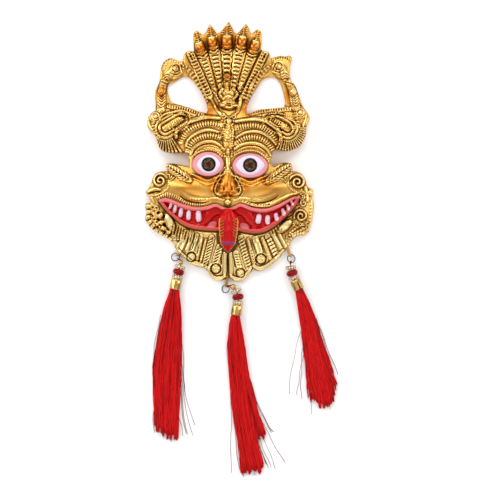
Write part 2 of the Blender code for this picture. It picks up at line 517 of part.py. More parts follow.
def carve_sides(face):
    """Veined leaves beside the eyes and rolled scrolls down both edges."""
    face.ridge([(-23.4, 60.4), (-37.4, 69.3)], 5.4, 2.0, taper=0.35)
    face.ridge([(23.2, 59.6), (37.2, 69.6)], 5.6, 2.0, taper=0.35)
    face.spiral((-41.3, 60.3), 4.2, 1.6, 1.7, 1.8, 20, 1)
    face.spiral((41.0, 59.6), 4.3, 1.6, 1.7, 1.8, 160, -1)
    face.ridge([(-48.2, 53.8), (-44.0, 55.0), (-39.0, 54.8), (-36.0, 52.6)], 2.2, 1.0)
    face.ridge([(45.6, 56.0), (46.4, 51.6), (46.8, 47.0)], 2.2, 1.0)
    face.mound((49.0, 53.2), (1.7, 2.0), 1.4)
    face.mound((-35.6, 34.6), (4.0, 1.9), 2.3, -62)
    face.mound((33.8, 32.4), (4.6, 2.2), 2.5, 42)
    face.spiral((43.0, 38.9), 3.9, 1.5, 1.5, 1.6, 200, -1)
    face.spiral((-41.0, 39.2), 2.6, 1.2, 1.3, 1.5, -30, 1)
    face.spiral((-38.4, 35.0), 2.0, 1.0, 1.1, 1.2, 90, -1)
    face.ridge([(-44.8, 47.4), (-46.4, 50.0), (-48.6, 53.4)], 1.5, 0.9)


def carve_face(x, y):
    """The whole relief over the face, as a rise over the rim in face units."""
    face = Relief(x, y)
    carve_crown(face)
    carve_seated_figure(face)
    carve_bird(face, (-33.4, 127.2), (-31.9, 127.5), (-36.5, 122.9), (-39.3, 119.0), (-40.5, 113.5),
               (-40.6, 103.5), 30)
    carve_bird(face, (32.0, 127.6), (29.6, 128.9), (33.4, 123.0), (36.0, 118.8), (38.2, 113.2),
               (40.0, 104.5), -30)
    carve_wing(face, ((-38.0, 90.6), (-27.5, 97.0)), [(-35.2, 104.3), (-29.0, 103.9), (-22.0, 102.2),
                                                      (-15.0, 99.3)],
               [(-41.8, 97.0), (-38.5, 99.6), (-33.0, 101.2), (-27.0, 101.0), (-20.0, 98.6)], (-43.9, 98.5),
               [(-46.8, 97.0), (-47.8, 93.6), (-45.9, 90.2), (-43.7, 86.6), (-42.7, 83.2)], (142.0, 250.0),
               13)
    carve_wing(face, ((35.3, 91.8), (25.5, 97.2)),
               [(12.8, 100.0), (18.0, 102.2), (25.0, 102.9), (32.0, 103.2), (37.4, 103.6)],
               [(22.0, 98.3), (28.0, 100.6), (34.0, 100.7), (38.5, 98.8), (40.7, 95.2), (40.2, 91.0)],
               (42.6, 101.0), [(38.7, 102.5), (39.2, 99.0), (41.8, 95.4), (41.4, 91.4)], (80.0, 208.0), 15)
    carve_brows(face,
                [([(-30.8, 86.4), (-31.0, 90.0), (-27.3, 93.8), (-20.7, 96.6), (-13.7, 98.0), (-5.7, 97.3)],
                  3.2, 2.2),
                 ([(-25.6, 80.4), (-24.6, 83.4), (-21.7, 86.6), (-17.3, 89.3), (-11.9, 90.1), (-6.4, 88.8)],
                  2.4, 1.9),
                 ([(-22.6, 76.2), (-21.3, 79.2), (-18.6, 81.5), (-14.8, 83.5), (-10.1, 83.8), (-5.6, 81.9),
                   (-3.2, 79.0)], 2.4, 1.8)],
                [([(-28.4, 84.2), (-26.0, 88.6), (-23.0, 91.4), (-17.7, 93.7), (-11.7, 94.5), (-5.6, 93.4)],
                  4.0),
                 ([(-24.3, 77.8), (-22.6, 82.0), (-20.2, 84.6), (-15.9, 86.5), (-10.8, 87.0), (-5.6, 85.8)],
                  3.6)],
                [(-21.8, 73.4), (-18.6, 77.1), (-13.7, 78.8), (-8.4, 78.3), (-4.2, 75.2)])
    carve_brows(face,
                [([(4.2, 94.9), (10.0, 96.0), (17.6, 96.4), (24.2, 94.4), (28.9, 90.4), (30.8, 85.7),
                   (30.0, 81.5)],
                  3.2, 2.2),
                 ([(4.2, 85.4), (10.0, 88.4), (15.5, 89.3), (19.9, 88.6), (24.2, 86.2), (27.6, 82.4)], 2.4,
                  1.9),
                 ([(3.5, 79.1), (7.5, 81.7), (12.6, 82.7), (18.0, 82.2), (22.4, 79.3), (25.2, 75.6)], 2.4,
                  1.8)],
                [([(4.4, 91.4), (10.0, 92.6), (16.0, 93.2), (21.5, 91.6), (25.8, 88.4), (28.9, 83.4)], 4.0),
                 ([(4.4, 82.2), (9.3, 85.2), (14.8, 86.0), (19.6, 85.0), (23.4, 82.6), (26.6, 78.2)], 3.6)],
                [(3.2, 75.2), (8.0, 77.7), (13.0, 78.6), (18.0, 77.4), (23.2, 73.2)])
    face.ridge([(0.1, 97.6), (-0.1, 88.0), (-0.4, 78.0)], 6.4, 1.6, taper=0.5)
    face.ridge([(-0.2, 92.0), (-0.3, 84.0), (-0.5, 76.0), (-0.5, 70.0)], 2.6, 1.2)
    carve_cheeks(face)
    carve_eye(face, (-12.1, 69.8), (7.6, 5.7), (-12.7, 70.2), (9.6, 7.8))
    carve_eye(face, (12.6, 69.4), (8.8, 6.1), (12.6, 68.8), (11.0, 7.9))
    carve_nose(face)
    carve_frill(face)
    carve_mouth(face)
    carve_tongue(face)
    carve_sides(face)
    return face.rise


def new_object(name, mesh, home, material=None):
    """An object on its mesh, in a collection, with its material."""
    thing = bpy.data.objects.new(name, mesh)
    home.objects.link(thing)
    if material:
        mesh.materials.clear()
        mesh.materials.append(material)
    return thing


def evaluated_mesh(thing):
    """A mesh of the object as its modifiers leave it."""
    bpy.context.view_layer.update()
    return bpy.data.meshes.new_from_object(thing.evaluated_get(bpy.context.evaluated_depsgraph_get()))


def principled(name, colour, metallic, roughness):
    """A plain Principled material."""
    material = bpy.data.materials.new(name)
    material.use_nodes = True
    shader = material.node_tree.nodes["Principled BSDF"]
    shader.inputs["Base Color"].default_value = (*colour, 1.0)
    shader.inputs["Metallic"].default_value = metallic
    shader.inputs["Roughness"].default_value = roughness
    return material


def height_block(name, home, step, height_at, floor, triangles):
    """A closed block whose top is a height over the face's plan and whose bottom is a flat floor."""
    low = np.min([p[:2] for p in OUTLINE], axis=0) * UNIT - 2 * step
    high = np.max([p[:2] for p in OUTLINE], axis=0) * UNIT + 2 * step
    counts = [int(round(c / step)) for c in high - low]
    grid = bmesh.new()
    bmesh.ops.create_grid(grid, x_segments=counts[0], y_segments=counts[1], size=1.0)
    plan = np.array([v.co[:2] for v in grid.verts])
    plan = 0.5 * (low + high) + plan * 0.5 * (high - low)
    heights = height_at(plan[:, 0], plan[:, 1])
    for vertex, (x, y), z in zip(grid.verts, plan, heights):
        vertex.co = (x, y, z)
    bmesh.ops.triangulate(grid, faces=grid.faces)
    surface = bpy.data.meshes.new(name + "_surface")
    grid.to_mesh(surface)
    grid.free()
    sheet = new_object(name + "_surface", surface, home)
    thin = sheet.modifiers.new("Fewer triangles", "DECIMATE")
    thin.ratio = min(1.0, triangles / len(surface.polygons))
    block = bmesh.new()
    block.from_mesh(evaluated_mesh(sheet))
    bpy.data.objects.remove(sheet)
    down = bmesh.ops.extrude_face_region(block, geom=block.faces[:], use_keep_orig=True)
    for item in down["geom"]:
        if isinstance(item, bmesh.types.BMVert):
            item.co.z = floor
    bmesh.ops.recalc_face_normals(block, faces=block.faces)
    mesh = bpy.data.meshes.new(name)
    block.to_mesh(mesh)
    block.free()
    return mesh


def outline_prism(home, top):
    """The mask's plan as an upright prism, with the two openings beside the crown."""
    curve = bpy.data.curves.new("outline", "CURVE")
    curve.dimensions = "2D"
    curve.fill_mode = "BOTH"
    curve.extrude = 0.5 * top
    for points in (OUTLINE, HOLE_LEFT, HOLE_RIGHT):
        loop = loop_points(points, OUTLINE_STEPS) * UNIT
        spline = curve.splines.new("POLY")
        spline.points.add(len(loop) - 1)
        spline.points.foreach_set("co", np.column_stack([loop, np.zeros(len(loop)),
                                                         np.ones(len(loop))]).ravel())
        spline.use_cyclic_u = True
    guide = new_object("outline_curve", curve, home)
    guide.location.z = 0.5 * top
    mesh = evaluated_mesh(guide)
    mesh.transform(Matrix.Translation((0, 0, 0.5 * top)))
    bpy.data.objects.remove(guide)
    solid = bmesh.new()
    solid.from_mesh(mesh)
    bmesh.ops.remove_doubles(solid, verts=solid.verts, dist=1e-6)
    bmesh.ops.recalc_face_normals(solid, faces=solid.faces)
    solid.to_mesh(mesh)
    solid.free()
    return mesh


def as_cutter(thing):
    """Marks an object as a cutter."""
    thing.hide_render = True
    thing.display_type = "WIRE"
    return thing


def boolean(thing, operation, other):
    """A live exact Boolean on an object."""
    step = thing.modifiers.new(operation.title(), "BOOLEAN")
    step.operation = operation
    step.object = other
    step.solver = "EXACT"


def down_string(lean):
    """The level direction that leans so many degrees from -Y towards +X."""
    return Vector((math.sin(math.radians(lean)), -math.cos(math.radians(lean)), 0))


def lug_reach(data):
    """How far a lug stands out from the rim: room for the ring's wire, and what is spare."""
    return LUG_BAR + RING_WIRE + 2 * CLEARANCE + data["spare"]


def lug_loop(name, data, home):
    """An upright wire loop that leaves the rim: a long ring with its hole level and crosswise."""
    outward = down_string(data["points"])
    bend = 0.5 * (LUG_HEIGHT - LUG_BAR)
    straight = LUG_ROOT + lug_reach(data) - 0.5 * LUG_BAR - bend
    centre_height = 0.5 * RIM_THICKNESS
    curve = bpy.data.curves.new(name, "CURVE")
    curve.dimensions = "3D"
    curve.bevel_depth = 0.5 * LUG_BAR
    curve.bevel_resolution = 1
    route = []
    for k in range(9):
        turn = math.radians(90 - 180 * k / 8)
        route.append((straight + bend * math.cos(turn), bend * math.sin(turn)))
    route = [(0.0, bend)] + route + [(0.0, -bend)]
    spline = curve.splines.new("POLY")
    spline.points.add(len(route) - 1)
    root = data["root"]
    start = Vector((root[0] * UNIT, root[1] * UNIT, 0)) - outward * LUG_ROOT
    for point, (far, up) in zip(spline.points, route):
        place = start + outward * far + Vector((0, 0, centre_height + up))
        point.co = (*place, 1.0)
    curve.use_fill_caps = True
    guide = new_object(name + "_curve", curve, home)
    mesh = evaluated_mesh(guide)
    bpy.data.objects.remove(guide)
    solid = bmesh.new()
    solid.from_mesh(mesh)
    bmesh.ops.remove_doubles(solid, verts=solid.verts, dist=1e-6)
    bmesh.ops.recalc_face_normals(solid, faces=solid.faces)
    solid.to_mesh(mesh)
    solid.free()
    return as_cutter(new_object(name, mesh, home))


def make_mask(parts, cutters, gold):
    """The casting: relief cut to the outline, hollow behind, with three lugs."""
    loops = [loop_points(points, OUTLINE_STEPS) * UNIT for points in (OUTLINE, HOLE_LEFT, HOLE_RIGHT)]

    def inside(x, y):
        return np.minimum(distance_inside(x, y, loops[0]),
                          -np.maximum(distance_inside(x, y, loops[1]), distance_inside(x, y, loops[2])))

    def front(x, y):
        rise = carve_face(x / UNIT, y / UNIT)
        kept = ease(inside(x, y) / (RUN_ON * UNIT) + 2)
        return RIM_THICKNESS + RISE * np.maximum(rise, DEEPEST_CUT) * kept

    def hollow(x, y):
        under_form = RIM_THICKNESS + RISE * body_rise(x / UNIT, y / UNIT) - WALL
        off_rim = HOLLOW_SLOPE * (inside(x, y) - RIM_WIDTH)
        return np.maximum(np.minimum(under_form, off_rim), SHALLOWEST_CORE)

    block = height_block("mask", cutters, FACE_STEP, front, BLOCK_FLOOR, FACE_TRIANGLES)
    mask = new_object("mask", block, parts, gold)
    prism = outline_prism(cutters, RIM_THICKNESS + 2 * RELIEF_DEPTH)
    prism = as_cutter(new_object("mask_outline", prism, cutters))
    core = height_block("mask_core", cutters, CORE_STEP, hollow, CORE_FLOOR, CORE_TRIANGLES)
    core = as_cutter(new_object("mask_core", core, cutters))
    boolean(mask, "INTERSECT", prism)
    boolean(mask, "DIFFERENCE", core)
    for side, data in HANGERS.items():
        lug = lug_loop(side + "_lug", data, cutters)
        boolean(mask, "UNION", lug)
    return mask


def turned(name, profile, sides, home, material, smooth=True):
    """A solid turned round Z from a closed profile of (radius, height) that runs down its outer side."""
    mesh = bpy.data.meshes.new(name)
    count = len(profile)
    mesh.from_pydata([(radius, 0.0, height) for radius, height in profile],
                     [(i, (i + 1) % count) for i in range(count)], [])
    thing = new_object(name, mesh, home, material)
    screw = thing.modifiers.new("Turn", "SCREW")
    screw.steps = sides
    screw.render_steps = sides
    screw.use_merge_vertices = True
    screw.merge_threshold = 0.00001
    screw.use_smooth_shade = smooth
    return thing


def torus(name, diameter, wire, around, across, home, material=None):
    """A closed round ring."""
    bpy.ops.mesh.primitive_torus_add(major_radius=0.5 * diameter, minor_radius=0.5 * wire,
                                     major_segments=around, minor_segments=across)
    thing = bpy.context.object
    for collection in thing.users_collection:
        collection.objects.unlink(thing)
    home.objects.link(thing)
    thing.name = name
    thing.data.name = name
    if material:
        thing.data.materials.append(material)
    thing.data.shade_smooth()
    return thing


def lay_down(thing, place, lean):
    """Lays a turned piece on its side, its top up the string, and puts its middle in place."""
    thing.rotation_mode = "QUATERNION"
    thing.rotation_quaternion = (-down_string(lean)).to_track_quat("Z", "Y")
    thing.location = place


def ring_placing(data):
    """The ring's centre, the normal of its plane, and the point on it that the string hangs from."""
    outward = down_string(data["points"])
    sideways = Vector((0, 0, 1)).cross(outward)
    root = Vector((data["root"][0] * UNIT, data["root"][1] * UNIT, 0.5 * RIM_THICKNESS))
    wire_at = root + outward * (lug_reach(data) - LUG_BAR - CLEARANCE - 0.5 * RING_WIRE)
    dip, roll = math.radians(data["dip"]), math.radians(data["roll"])
    along = outward * math.cos(dip) + Vector((0, 0, -math.sin(dip)))
    across = sideways * math.cos(roll) + Vector((0, 0, math.sin(roll)))
    centre = wire_at + along * 0.5 * RING_DIAMETER
    turn = math.radians(data["swing"] - data["points"])
    hold = centre + (along * math.cos(turn) + across * math.sin(turn)) * 0.5 * RING_DIAMETER
    return centre, along.cross(across).normalized(), hold


def ball_profile(diameter):
    """A bored ball, from its upper rim down its outer side."""
    radius = 0.5 * diameter
    first = math.asin(0.5 * BORE / radius)
    angles = [first + (math.pi - 2 * first) * k / 6 for k in range(7)]
    return [(radius * math.sin(a), radius * math.cos(a)) for a in angles]


def rondelle_profile():
    """A bored disc with a thin edge."""
    bore, rim, half = 0.5 * BORE, 0.5 * RONDELLE_DIAMETER, 0.5 * RONDELLE_LENGTH
    return [(bore, half), (rim - RONDELLE_EDGE, half), (rim, 0.0), (rim - RONDELLE_EDGE, -half),
            (bore, -half)]


def bead_profile():
    """A bored double cone with flat ends and a narrow girdle."""
    bore, rim, face = 0.5 * BORE, 0.5 * BEAD_DIAMETER, 0.5 * BEAD_FACE
    half, girdle = 0.5 * BEAD_LENGTH, 0.5 * BEAD_GIRDLE
    return [(bore, half), (face, half), (rim, girdle), (rim, -girdle), (face, -half), (bore, -half)]


def cap_profile():
    """A thin cup, open downwards, with a bored top."""
    bore, rim, half = 0.5 * BORE, 0.5 * CAP_DIAMETER, 0.5 * CAP_LENGTH
    return [(bore, half), (rim, half), (rim, -half), (rim - CAP_WALL, -half),
            (rim - CAP_WALL, half - CAP_WALL), (bore, half - CAP_WALL)]


def string_pieces(side, parts, paints):
    """The bored pieces of one hanger in order: each with its length and the width of its flat ends."""
    pieces = []
    if side in BALL_DIAMETERS:
        size = BALL_DIAMETERS[side]
        ball = turned(side + "_ball", ball_profile(size), 10, parts, paints["brass"])
        pieces.append((ball, size, 0.0))
    for name, profile, length, face, sides, paint in (
            ("_upper_rondelle", rondelle_profile(), RONDELLE_LENGTH, RONDELLE_DIAMETER, 10, "pale_gold"),
            ("_bead", bead_profile(), BEAD_LENGTH, BEAD_FACE, 8, "red_glass"),
            ("_lower_rondelle", rondelle_profile(), RONDELLE_LENGTH, RONDELLE_DIAMETER, 10, "pale_gold"),
            ("_cap", cap_profile(), CAP_LENGTH, CAP_DIAMETER, 12, "brass")):
        thing = turned(side + name, profile, sides, parts, paints[paint], paint != "red_glass")
        pieces.append((thing, length, face))
    return pieces


def string_places(hold, data, lengths, faces):
    """The middle of every piece down a string: the first one clears the loop, the rest each other."""
    leans = data["leans"]
    level = 0.5 * max(BEAD_DIAMETER, RONDELLE_DIAMETER, CAP_DIAMETER)
    start = Vector((hold.x, hold.y, level))
    loop_end = start + down_string(data["swing"]) * 0.5 * (LOOP_DIAMETER + LOOP_WIRE)
    places = [loop_end + down_string(data["onward"]) * (CLEARANCE + data["slack"] + 0.5 * lengths[0])]
    for k in range(1, len(lengths)):
        bend = math.radians(0.5 * abs(leans[k - 1] - leans[k]))
        step = (0.5 * (lengths[k - 1] + lengths[k]) + CLEARANCE) / math.cos(bend)
        step += min(faces[k - 1], faces[k]) * math.tan(bend)
        places.append(places[-1] + down_string(0.5 * (leans[k - 1] + leans[k])) * step)
    return places


def hanging_loop(name, hold, centre, normal, home):
    """The small upright loop that links a string to its ring."""
    loop = torus(name, LOOP_DIAMETER, LOOP_WIRE, 12, 6, home)
    wire = normal.cross(hold - centre).normalized()
    loop.rotation_mode = "QUATERNION"
    loop.rotation_quaternion = wire.to_track_quat("Z", "Y")
    loop.location = hold
    return as_cutter(loop)


def tassel(side, data, route, home, material):
    """A thread tassel as one loft: its cord up the bores, its neck in the cap and its fluted skirt."""
    down = down_string(data["leans"][-1])
    in_cap = 0.5 * CAP_DIAMETER - CAP_WALL - CLEARANCE
    sections = [(place, 0.5 * CORD, 0.5 * CORD, 0.0) for place in route[:-1]]
    mouth = route[-1]
    top = mouth - down * (CAP_LENGTH - CAP_WALL - CLEARANCE)
    sections.append((top - down * CLEARANCE, 0.5 * CORD, 0.5 * CORD, 0.0))
    sections.append((top, in_cap, in_cap, 0.0))
    sections.append((mouth, in_cap, in_cap, 0.0))
    neck, end = 0.5 * NECK_DIAMETER, 0.5 * THREAD_END_THICKNESS
    sections.append((mouth + down * NECK_LENGTH, 0.5 * NECK_WIDTH, neck, THREAD_FLUTE))
    reach = mouth.y - data["skirt"][-1][0] * UNIT
    for height, middle, half in data["skirt"]:
        share = (mouth.y - height * UNIT) / reach
        thick = neck + (end - neck) * share
        sag = end + (mouth.z - end) * max(0.0, 1 - 2.5 * share) ** 1.5
        place = Vector((middle * UNIT, height * UNIT, max(sag, thick)))
        sections.append((place, half * UNIT, thick, THREAD_FLUTE))
    return new_object(side + "_tassel", section_loft(side + "_tassel", sections, 8), home, material)


def section_loft(name, sections, sides):
    """A closed skin over oval sections, each with its middle, half width, half height and fluting."""
    loft = bmesh.new()
    rings = []
    for index, (place, wide, tall, fluted) in enumerate(sections):
        ahead = sections[min(index + 1, len(sections) - 1)][0] - sections[max(index - 1, 0)][0]
        across = Vector((-ahead.y, ahead.x, 0)).normalized()
        ring = []
        for k in range(sides):
            angle = 2 * math.pi * (k + 0.5) / sides
            swell = wide * (1 + fluted * (-1) ** k)
            offset = across * swell * math.cos(angle) + Vector((0, 0, tall * math.sin(angle)))
            ring.append(loft.verts.new(place + offset))
        rings.append(ring)
    for one, two in zip(rings[:-1], rings[1:]):
        for k in range(sides):
            loft.faces.new((one[k], one[(k + 1) % sides], two[(k + 1) % sides], two[k]))
    loft.faces.new(rings[0])
    loft.faces.new(rings[-1][::-1])
    bmesh.ops.recalc_face_normals(loft, faces=loft.faces)
    mesh = bpy.data.meshes.new(name)
    loft.to_mesh(mesh)
    loft.free()
    mesh.shade_smooth()
    return mesh


def make_hanger(side, data, parts, cutters, paints):
    """One ring, its string of bored pieces and the tassel, laid along the surface."""
    centre, normal, hold = ring_placing(data)
    ring = torus(side + "_ring", RING_DIAMETER, RING_WIRE, 16, 6, parts, paints["steel"])
    ring.rotation_mode = "QUATERNION"
    ring.rotation_quaternion = normal.to_track_quat("Z", "Y")
    ring.location = centre
    things, lengths, faces = zip(*string_pieces(side, parts, paints))
    places = string_places(hold, data, lengths, faces)
    outward = Vector((hold.x - centre.x, hold.y - centre.y, hold.z - centre.z)).normalized()
    route = [hold + outward * 0.5 * LOOP_DIAMETER]
    for thing, length, place, lean in zip(things, lengths, places, data["leans"]):
        lay_down(thing, place, lean)
        route.append(place - down_string(lean) * 0.5 * length)
        route.append(place + down_string(lean) * 0.5 * length)
    skirt = tassel(side, data, route, parts, paints["thread"])
    boolean(skirt, "UNION", hanging_loop(side + "_loop", hold, centre, normal, cutters))


def stand_on_origin(parts):
    """Moves the object so that the middle of its underside is the origin."""
    bpy.context.view_layer.update()
    graph = bpy.context.evaluated_depsgraph_get()
    corners = []
    for thing in parts.objects:
        mesh = thing.evaluated_get(graph).to_mesh()
        places = np.empty(len(mesh.vertices) * 3)
        mesh.vertices.foreach_get("co", places)
        matrix = np.array(thing.matrix_world)
        places = places.reshape(-1, 3) @ matrix[:3, :3].T + matrix[:3, 3]
        corners += [places.min(axis=0), places.max(axis=0)]
        thing.evaluated_get(graph).to_mesh_clear()
    low, high = np.min(corners, axis=0), np.max(corners, axis=0)
    base = bpy.data.objects.new("base", None)
    bpy.context.scene.collection.objects.link(base)
    base.location = (-0.5 * (low[0] + high[0]), -0.5 * (low[1] + high[1]), -low[2])
    return base


def main():
    for thing in list(bpy.data.objects):
        bpy.data.objects.remove(thing, do_unlink=True)
    parts = bpy.data.collections.new("kirtimukha_mask")
    cutters = bpy.data.collections.new("cutters")
    bpy.context.scene.collection.children.link(parts)
    bpy.context.scene.collection.children.link(cutters)
    paints = {
        "gold": principled("gold_plate", (0.86, 0.58, 0.16), 1.0, 0.22),
        "brass": principled("brass", (0.88, 0.64, 0.22), 1.0, 0.2),
        "pale_gold": principled("pale_gold", (0.86, 0.76, 0.5), 1.0, 0.25),
        "steel": principled("dark_steel", (0.28, 0.28, 0.28), 1.0, 0.35),
        "red_glass": principled("red_glass", (0.45, 0.01, 0.02), 0.0, 0.06),
        "thread": principled("red_thread", (0.62, 0.01, 0.015), 0.0, 0.6),
    }
    make_mask(parts, cutters, paints["gold"])
    for side, data in HANGERS.items():
        make_hanger(side, data, parts, cutters, paints)
    base = stand_on_origin(parts)
    for thing in list(parts.objects) + list(cutters.objects):
        thing.parent = base


main()
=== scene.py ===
"""The looks of a gilded kirtimukha mask with three red thread tassels, lying on a pale table.

The mask is one closed mesh over a fine grid. Its front is a height over the face, added up from
domes, ridges along curves, rings, beads and spirals; its back is the hollow of a thin casting.
Painted parts are kept as distances on the mesh, which the material reads.
"""
import itertools
import math

import bpy
import numpy as np
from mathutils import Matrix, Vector
from mathutils.geometry import delaunay_2d_cdt


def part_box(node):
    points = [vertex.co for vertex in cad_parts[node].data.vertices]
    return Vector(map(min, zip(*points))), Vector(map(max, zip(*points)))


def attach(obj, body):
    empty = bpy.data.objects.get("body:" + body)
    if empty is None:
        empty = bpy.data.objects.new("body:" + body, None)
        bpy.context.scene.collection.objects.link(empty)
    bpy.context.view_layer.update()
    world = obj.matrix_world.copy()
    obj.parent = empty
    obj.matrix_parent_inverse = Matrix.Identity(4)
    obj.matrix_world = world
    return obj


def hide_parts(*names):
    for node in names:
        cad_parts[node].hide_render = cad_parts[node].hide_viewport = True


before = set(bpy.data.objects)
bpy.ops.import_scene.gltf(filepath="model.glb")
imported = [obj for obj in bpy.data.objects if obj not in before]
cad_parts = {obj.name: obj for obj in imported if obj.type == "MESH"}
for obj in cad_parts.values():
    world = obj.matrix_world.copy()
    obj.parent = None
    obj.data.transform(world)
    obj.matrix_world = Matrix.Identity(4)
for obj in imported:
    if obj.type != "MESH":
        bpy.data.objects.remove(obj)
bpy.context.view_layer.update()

# How finely the relief is cut, in face units
GRID = 0.35
BACK_GRID = 1.75
OUTLINE_STEPS = 5

# The casting, in face units
RIM_THICKNESS = 3.2
WALL = 3.3
RIM_WIDTH = 2.5
HOLLOW_SLOPE = 1.2
THINNEST = 1.0
DEEPEST_CUT = -0.9
EDGE_ROUND = 1.3
EDGE_DROP = 1.7
HIGHEST_RISE = 19.6

# Hardware, in metres
LUG_BAR = 0.0008
LUG_PLAY = 0.0004
LUG_SPREAD = 0.8
LUG_ROOT = 0.0016
RING_DIAMETER = 0.0048
RING_WIRE = 0.0006
LUG_HEIGHT = 2 * LUG_BAR + RING_WIRE + 2 * LUG_PLAY
CLEARANCE = 0.0003
CORD = 0.0005
LOOP_WIRE = 0.0006
LOOP_DIAMETER = RING_WIRE + 2 * CLEARANCE + LOOP_WIRE
BORE = CORD + 0.0010
RONDELLE_DIAMETER = 0.0062
RONDELLE_LENGTH = 0.0019
BEAD_DIAMETER = 0.0069
BEAD_LENGTH = 0.0034
BEAD_FACE = 0.0044
BEAD_GIRDLE = 0.0008
CAP_DIAMETER = 0.0062
CAP_LENGTH = 0.0062
CAP_WALL = 0.0004
BALL_DIAMETERS = {"left": 0.0027, "middle": 0.0034}


def rows(text, columns=2):
    """The numbers of a text, so many to a row; two are a place."""
    return np.array(text.split(), float).reshape(-1, columns)


def marked(text):
    """The places of a text, with a third value of 1 where a star marks a corner."""
    return np.column_stack([rows(text.replace("*", "")), [w.endswith("*") for w in text.split()[1::2]]])


# Outline in face units, clockwise from the crown's tip; a star marks a corner
OUTLINE = marked("""
-0.4 155.9*  1.7 152.6  3.2 149.3  4.6 148.4*  6.3 150.1  10.1 154.6*  11.6 152.3  12.5 149.8
13.5 148*  15.6 150.3  17.6 151.2  19.3 149  19.6 144.8  18.9 139.2*  20.6 138.3  22.5 138.3
24.1 136.7  24.2 133.6*  27.3 134.3  30.6 135.4  33.5 134.9  35.9 135.5  37.8 134  36.9 130.8
36.3 126.8  36.8 121.5  39.7 117.1  41.3 113  42.6 109.4  43.8 105.8  46.9 101.2  48.3 98.3  47.4 95.4*
46.1 92  46 88  44.7 84.6  42.4 81.1  37.5 78.7  32.9 78  28.3 79.2*  26.4 78  25.4 74.6  24.3 71.4*
26.9 68.6  30.1 70.5  34.2 71.1  37.2 70.4  37.8 68  35.9 65.6*  39.5 66.1  42.9 64.6  45.3 61.9
46.5 58.1  48 56*  50.3 54.9  50.6 52.4  49.3 50.6*  50.8 46.8  50.5 42.2  50.1 38.6  49.1 34.2
47.9 30.4  45.3 27.7  41.5 27.2  38.1 24.8  34.8 19.6*  33 17.6  29.9 13.8  26.2 10.4  22.3 7.6
18.5 6.2  14.3 7.2*  12.6 5  10.5 2.3  7.7 0.5  4.2 0  1.6 1.3  -0.3 2.6*  -1.8 1.6  -4.5 0.7  -8.3 0.7
-11.3 2.9  -12.9 6*  -16 8.4  -19.8 9.2  -22.9 10.4  -25.9 12.7  -29.7 16.4  -32.2 19.3  -32.8 21.8
-35.9 25  -39.7 27.3  -44.3 30  -47.3 32.7  -49.6 35.9  -50.4 38.3  -49.3 41.6  -50.4 44.4  -50.1 46.8*
-46.8 47.4*  -47.9 50.5  -50.3 53.5*  -47.7 56.8  -46.1 60.6  -45.1 63.5  -42.9 65.3  -39.5 65.9
-36.4 66*  -37.4 68  -37.6 70.2  -34.7 70.6  -30.6 70  -26.5 69.1  -23.9 68.4*  -23.5 70.6  -24.1 73.9
-25.8 76.6  -28.5 76.9  -33.3 76.9  -38.2 77.6  -41.2 79.3  -42.9 82.7  -43.8 86.1  -46.4 89.6
-48.6 92.3  -49.1 95.6  -48.3 98.8  -46.3 101.3  -43.9 102.6*  -44.2 107.8  -44.5 113.2  -43.3 116.7
-41.8 119.2*  -41.4 124.3  -41 127.7  -39.9 130.6  -37.6 133  -35.4 133.9  -32.6 133.4  -29.9 132.1
-27.6 131.9*  -27.8 134.3  -26.4 136.9  -24.2 138.5  -22.2 137.9  -21.1 138.3*  -21.3 142.9
-21.4 146.3  -21.1 149.4  -19.6 150.7  -18.1 149.5  -15.6 147.6*  -13.8 149.9  -11.6 154.7*  -9.2 151.3
-7.2 148.3*  -4.7 150.1
""")
HOLE_LEFT = marked("""
-36.2 117.9  -32.6 119.6  -28.5 122.3  -25.7 122.9  -22.4 120.7  -18.4 115.9  -14.9 109.8  -12.9 103.6
-13.6 100.8*  -17.5 101.8  -23 103.9  -29.9 106  -34.4 107.5  -36 110.6  -36.9 114.5
""")
HOLE_RIGHT = marked("""
20.5 121.1  25.2 122.7  28.7 121.3  31 117.9  32.6 112.6  33.5 107.8  33.1 104.6*  25.9 103.8
18.4 103.1  13.5 101.1  10.9 100.1*  10.4 102.2  11.1 105.9  13.6 111.2  17.1 116.6
""")

# Each hanger: where its lug leaves the rim and which way it points, in degrees from -Y towards +X;
# how much longer than its ring needs the lug is; the ring's dip and roll; which way the loop hangs
# from the ring; and the lean of every piece down the string
HANGERS = {
    "left": {"root": (-29.9, 16.6), "points": -50.0, "spare": 0.0, "dip": 2.0, "roll": 14.0,
             "swing": 59.0, "leans": (-6.0, -20.0, -15.0, -12.0, -11.0)},
    "middle": {"root": (-1.2, 2.0), "points": -8.0, "spare": 0.0034, "dip": 2.0, "roll": 26.0,
               "swing": 125.0, "leans": (54.0, 24.0, 7.0, -8.0, -9.0)},
    "right": {"root": (35.2, 19.9), "points": 18.0, "spare": 0.0035, "dip": -6.0, "roll": -22.0,
              "swing": -10.0, "leans": (8.0, 19.0, 22.0, 24.0)},
}

